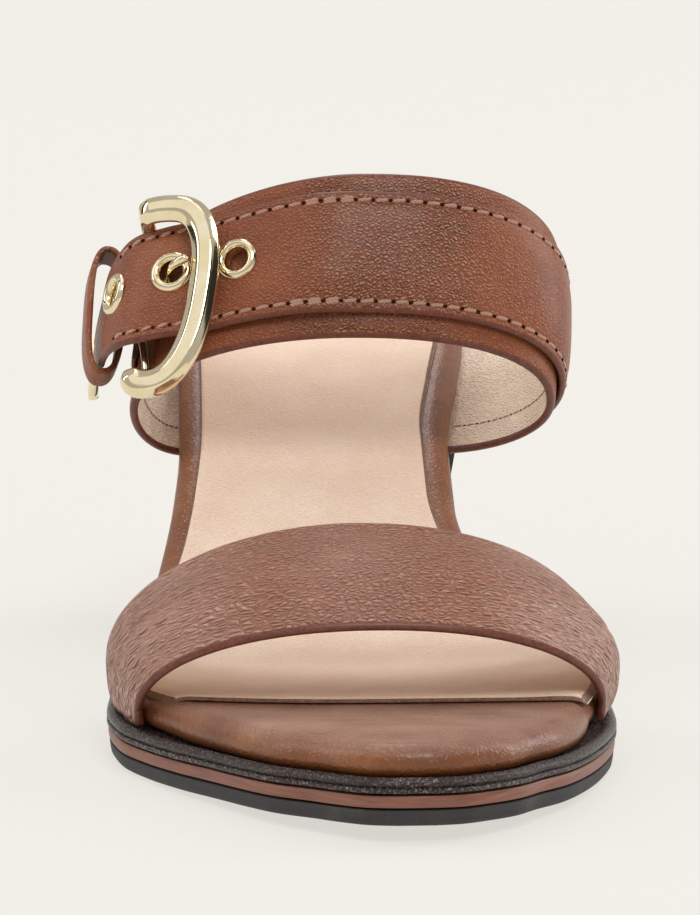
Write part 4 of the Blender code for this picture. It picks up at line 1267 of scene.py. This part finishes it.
def wrap_leather():
    """Footbed wrap: orange-brown and shiny low on the roll, duller and mauve on top; the orange-brown is
    painted reflection, set by which way the surface faces.
    """
    paint = Paint("footbed_wrap", "Object", Specular_IOR_Level=0.45, Coat_Weight=0.2, Coat_Roughness=0.25)
    facing = paint.add("NewGeometry").outputs["Normal"]
    up = paint.add("SeparateXYZ", Vector=facing).outputs[2]
    behind = paint.add("SeparateXYZ", Vector=paint.place).outputs[1]
    toe = paint.ranged(behind, -62.0, -30.0, 1.0, 0.25)
    # Painted reflection: the orange-brown goes where the surface turns away from facing up, as on the roll;
    # toward the heel it spreads over the top as well.
    flat = paint.math("MULTIPLY", paint.ranged(up, 0.35, 0.95), toe)
    cloud = paint.noise(0.09, 4.0)
    roll = paint.ramp(cloud, (0.3, "6E3A18"), (0.6, "844B22"), (0.8, "96602F"))
    top = paint.ramp(cloud, (0.3, "80523C"), (0.55, "936650"), (0.8, "A17660"))
    grain = paint.ranged(paint.cells(1.0, paint.place, 0.8), 0.0, 0.4)
    fine = paint.noise(2.4, 4.0)
    body = paint.mix(flat, roll, top)
    # Painted shade darkens the grooves of the grain.
    paint.colour(paint.tint(grain, 0.0, 0.8, 0.22, 0.0, body, "4E2C1C"))
    dull = paint.ranged(flat, 0.0, 1.0, 0.3, 0.46)
    paint.roughness(paint.math("ADD", dull, paint.ranged(fine, 0.2, 0.8, 0.0, 0.1)))
    paint.bump(paint.noise(0.22, 4.0), 0.6, 0.4)
    paint.bump(paint.math("MULTIPLY", grain, paint.ranged(flat, 0.0, 1.0, 0.3, 1.0)), 0.25, 0.8)
    paint.bump(fine, 0.04, 0.4)
    return paint.material


def welt_paint(name, bump, speck_tone, speck_share, low, high):
    """Near-black welt leather with lighter specks on the high spots of its bump."""
    paint = Paint(name, "Object", Specular_IOR_Level=0.45, Coat_Weight=0.15, Coat_Roughness=0.15)
    lumps = paint.noise(0.8, 4.0, None, 0.7)
    hair = paint.noise(2.0, 4.0, None, 0.75)
    body = paint.ramp(lumps, (0.35, "1A0E0D"), (0.65, "331F1D"))
    paint.colour(paint.tint(hair, 0.52, 0.62, 0.0, speck_share, body, speck_tone))
    paint.roughness(paint.ranged(hair, 0.3, 0.7, low, high))
    paint.bump(lumps, bump, 1.0)
    paint.bump(hair, 0.3, 0.8)
    return paint.material


def midsole_paint():
    paint = Paint("midsole_edge", "Object", Specular_IOR_Level=0.5)
    lines = paint.noise(0.9, 4.0, paint.stretch(0.12, 0.12, 2.2), 0.6)
    paint.colour(paint.ramp(lines, (0.3, "6B4033"), (0.5, "80503F"), (0.75, "916452")))
    paint.roughness(paint.ranged(lines, 0.2, 0.8, 0.34, 0.55))
    paint.bump(lines, 0.2, 0.6)
    return paint.material


def rubber_paint(name, dark, light):
    paint = Paint(name, "Object", Specular_IOR_Level=0.4)
    grit = paint.noise(1.8, 5.0, None, 0.65)
    dust = paint.noise(0.12, 4.0)
    body = paint.ramp(grit, (0.3, dark), (0.75, light))
    paint.colour(paint.tint(dust, 0.5, 0.8, 0.0, 0.25, body, "6A6660"))
    paint.roughness(paint.ranged(grit, 0.2, 0.8, 0.58, 0.8))
    paint.bump(grit, 0.16, 0.6)
    return paint.material


def stacked_paint():
    """Heel of stacked leather lifts, stained almost black."""
    paint = Paint("heel_stack", "Object", Specular_IOR_Level=0.5, Coat_Weight=0.2, Coat_Roughness=0.25)
    layers = paint.bands("Z", 0.1, Distortion=0.6, Detail=3.0, Detail_Scale=2.0)
    fibre = paint.noise(0.8, 4.0, paint.stretch(0.15, 0.15, 2.5))
    body = paint.ramp(fibre, (0.3, "171213"), (0.7, "2B2221"))
    paint.colour(paint.tint(layers, 0.0, 0.1, 0.7, 0.0, body, "0C0909"))
    paint.roughness(paint.ranged(fibre, 0.2, 0.8, 0.3, 0.46))
    paint.bump(paint.ranged(layers, 0.0, 0.12), 0.12, 0.7)
    paint.bump(fibre, 0.08, 0.4)
    return paint.material


def gold_paint():
    """Pale gold plating, lightly hazed and scratched by wear."""
    paint = Paint("gold_plate", "Object", Metallic=1.0)
    haze = paint.noise(0.25, 4.0)
    scratch = paint.noise(2.2, 4.0, paint.stretch(0.2, 1.0, 1.6), 0.7)
    paint.colour(paint.ramp(haze, (0.3, "E9D7AE"), (0.6, "F0E2C0"), (0.8, "F4E9CE")))
    paint.roughness(paint.ranged(scratch, 0.3, 0.8, 0.06, 0.16))
    paint.bump(scratch, 0.015, 0.4)
    return paint.material


def thread_paint():
    paint = Paint("thread", "Object", Specular_IOR_Level=0.3, Sheen_Weight=0.3)
    twist = paint.bands("DIAGONAL", 0.9, Distortion=0.5)
    paint.colour(paint.ramp(twist, (0.1, "946A58"), (0.6, "AA806C"), (1.0, "BC9380")))
    paint.roughness(paint.ranged(twist, 0.0, 1.0, 0.55, 0.75))
    paint.bump(twist, 0.07, 0.8)
    return paint.material


# Floor, lights, cards and camera, in metres and watts.
FLOOR_SIZE = (8.0, 8.0)
FLOOR_HEIGHT = -0.0002
FLOOR_TONE = "73726F"
FLOOR_SHADE = "71706D"
FLOOR_GLOW = "FFFCF4"
FLOOR_GLOW_POWER = 0.66
SHOE = (0.0, -0.01, 0.05)
Softbox = namedtuple("Softbox", "name place size power")
SOFTBOXES = [
    Softbox("top_light", (0.0, 1.0, 7.0), (4.0, 4.0), 40.0),
    Softbox("left_light", (-5.5, 1.6, 3.4), (3.0, 5.0), 150.0),
    Softbox("right_light", (5.6, 2.0, 2.8), (3.0, 5.0), 190.0),
    Softbox("front_light", (0.9, -3.6, 4.7), (2.2, 2.2), 130.0),
    Softbox("back_light", (0.0, 4.2, 5.6), (1.2, 3.0), 60.0),
]
SUN_PLACE = (-1.2, -1.6, 3.0)
SUN_POWER = 0.25
SUN_SPREAD_DEG = 50.0
Card = namedtuple("Card", "name place size")
CARDS = [
    Card("card_right", (1.08, -0.2, 0.54), (0.6, 0.7)),
    Card("card_high", (0.62, -0.63, 0.87), (0.6, 0.45)),
    Card("card_left", (-1.0, 0.4, 0.55), (0.3, 1.2)),
]
SKY_TONE = (1.0, 0.99, 0.97, 1.0)
SKY_POWER = 0.5
CAMERA_PLACE = (-0.04906, -0.8883, 0.1867)
CAMERA_TARGET = (-0.00054, -0.04844, 0.05636)
CAMERA_LENS = 180.6
CAMERA_SENSOR = 36.0


def floor_paint():
    """Pale paper on a light table, so that the shoe's shadow on it stays faint."""
    paint = Paint("floor_paper", "Object", Specular_IOR_Level=0.1, Emission_Color=srgb(FLOOR_GLOW),
                  Emission_Strength=FLOOR_GLOW_POWER)
    fibre = paint.noise(0.4, 4.0)
    paint.colour(paint.ramp(fibre, (0.3, FLOOR_TONE), (0.7, FLOOR_SHADE)))
    paint.roughness(paint.ranged(fibre, 0.2, 0.8, 0.85, 0.95))
    return paint.material


def stage_sheet(name, size, height, material):
    """Flat rectangle about its own middle, which is not part of the shoe."""
    x, y = 0.5 * size[0], 0.5 * size[1]
    mesh = bpy.data.meshes.new(name)
    corners = [(-x, -y, height), (x, -y, height), (x, y, height), (-x, y, height)]
    mesh.from_pydata(corners, [], [(0, 1, 2, 3)])
    mesh.materials.append(material)
    made = add_object(name, mesh)
    return made


def aim(thing, place, target):
    thing.location = place
    thing.rotation_euler = (Vector(target) - Vector(place)).to_track_quat("-Z", "Y").to_euler()


brown = smooth_leather("instep_leather", "7C3B19", "8C4722", "99532C")
brown_over = smooth_leather("buckle_strap_leather", "7E3C1A", "8E4823", "9A552E", 0.32)
edge_paint = cut_edge("strap_edge")
strap_lining = lining_leather("strap_lining", "UV", 1.0, "EAD0B8", "F0DAC4", "F7E5D1")
sock = lining_leather("sock_leather", "Object", 0.35, "DDC1AC", "E3C8B3", "E8D0BC")
gold = gold_paint()
thread = thread_paint()
# Dark marks of painted shade that stand for the needle holes.
hole_shade_paint = cut_edge("needle_hole_shade", "3A2018", "24120B", 0.0)
welt_rough = welt_paint("welt_rough", 1.6, "B3A49B", 0.75, 0.3, 0.65)
welt_bead = welt_paint("welt_bead", 1.6, "9A867D", 0.5, 0.14, 0.4)

sole_layer("outsole", OUTSOLE_EDGE, [rubber_paint("outsole_rubber", "2A2A2A", "3F3E3D")])
sole_layer("midsole", MIDSOLE_EDGE, [midsole_paint()])
sole_layer("welt", WELT_EDGE, [welt_rough, welt_bead])
footbed([wrap_leather()])
# The sheet's border and underside take a darker brown, which gives the thin dark line along its edges.
insole([sock, cut_edge("sock_edge", "8A6A55", "5A3E30")])
heel([stacked_paint()], rubber_paint("top_piece_rubber", "1E1E1E", "343332"))

vamp_arcs = np.linspace(VAMP.high, VAMP.low, VAMP_STATIONS)
strap_mesh("vamp_strap", band_surface(VAMP), vamp_arcs, whole_width, VAMP_WIDTH, STRAP_WALL,
           [pebbled_leather(), edge_paint, strap_lining], outer=VAMP_STEPS, swell=vamp_swell, lay=vamp_lay)
instep_arcs = np.linspace(INSTEP.high, INSTEP.low, INSTEP_STATIONS)
strap_mesh("instep_strap", band_surface(INSTEP), instep_arcs, whole_width, STRAP_LENGTH, STRAP_WALL,
           [brown, edge_paint, strap_lining], swell=instep_swell)
buckle_strap([brown_over, edge_paint, edge_paint])
eyelets([gold])
buckle_frame([gold])
buckle_prong([gold])
strap_keeper([brown, brown, edge_paint])
strap_tip([gold, gold, gold])
buckle_tab([brown, edge_paint, edge_paint])

# Each stitch row gets dark marks of painted shade in its needle holes between the stitches.
for side_name, side in (("front", 0), ("rear", 1)):
    line = over_line(side, STITCH_INSET)
    stitch_line("stitches_" + side_name, STITCH_ARCS, line, STITCH, 0.0, [thread], DOUBLED)
    stitch_line("stitch_hole_shades_" + side_name, STITCH_ARCS, line, HOLE, 0.5, [hole_shade_paint])
lining_arcs = (INSTEP.low + LINING_END, INSTEP.high - LINING_END)
line = lining_line(INSTEP, LINING_ROW)
stitch_line("stitches_lining", lining_arcs, line, LINING_STITCH, 0.0, [thread])
# Painted shade in the needle holes of the lining row.
stitch_line("stitch_hole_shades_lining", lining_arcs, line, LINING_HOLE, 0.5, [hole_shade_paint])

stage_sheet("floor", FLOOR_SIZE, FLOOR_HEIGHT, floor_paint())

for box in SOFTBOXES:
    light = bpy.data.lights.new(box.name, "AREA")
    light.shape = "RECTANGLE"
    light.size, light.size_y = box.size
    light.energy = box.power
    aim(add_object(box.name, light), box.place, SHOE)

sun = bpy.data.lights.new("sun", "SUN")
sun.energy = SUN_POWER
sun.angle = math.radians(SUN_SPREAD_DEG)
aim(add_object("sun", sun), SUN_PLACE, SHOE)

# Cards that only glossy reflections see, as dark stripes between the lights.
card_paint = rubber_paint("card_black", "0A0A0A", "141414")
for card in CARDS:
    sheet = stage_sheet(card.name, card.size, 0.0, card_paint)
    aim(sheet, card.place, SHOE)
    sheet.visible_camera = False
    sheet.visible_diffuse = False
    sheet.visible_shadow = False

world = bpy.data.worlds.new("studio")
world.use_nodes = True
world.node_tree.nodes["Background"].inputs["Color"].default_value = SKY_TONE
world.node_tree.nodes["Background"].inputs["Strength"].default_value = SKY_POWER
bpy.context.scene.world = world
bpy.context.scene.view_settings.view_transform = "Standard"

lens = bpy.data.cameras.new("camera")
lens.lens = CAMERA_LENS
lens.sensor_width = CAMERA_SENSOR
camera = add_object("camera", lens)
aim(camera, CAMERA_PLACE, CAMERA_TARGET)
bpy.context.scene.camera = camera
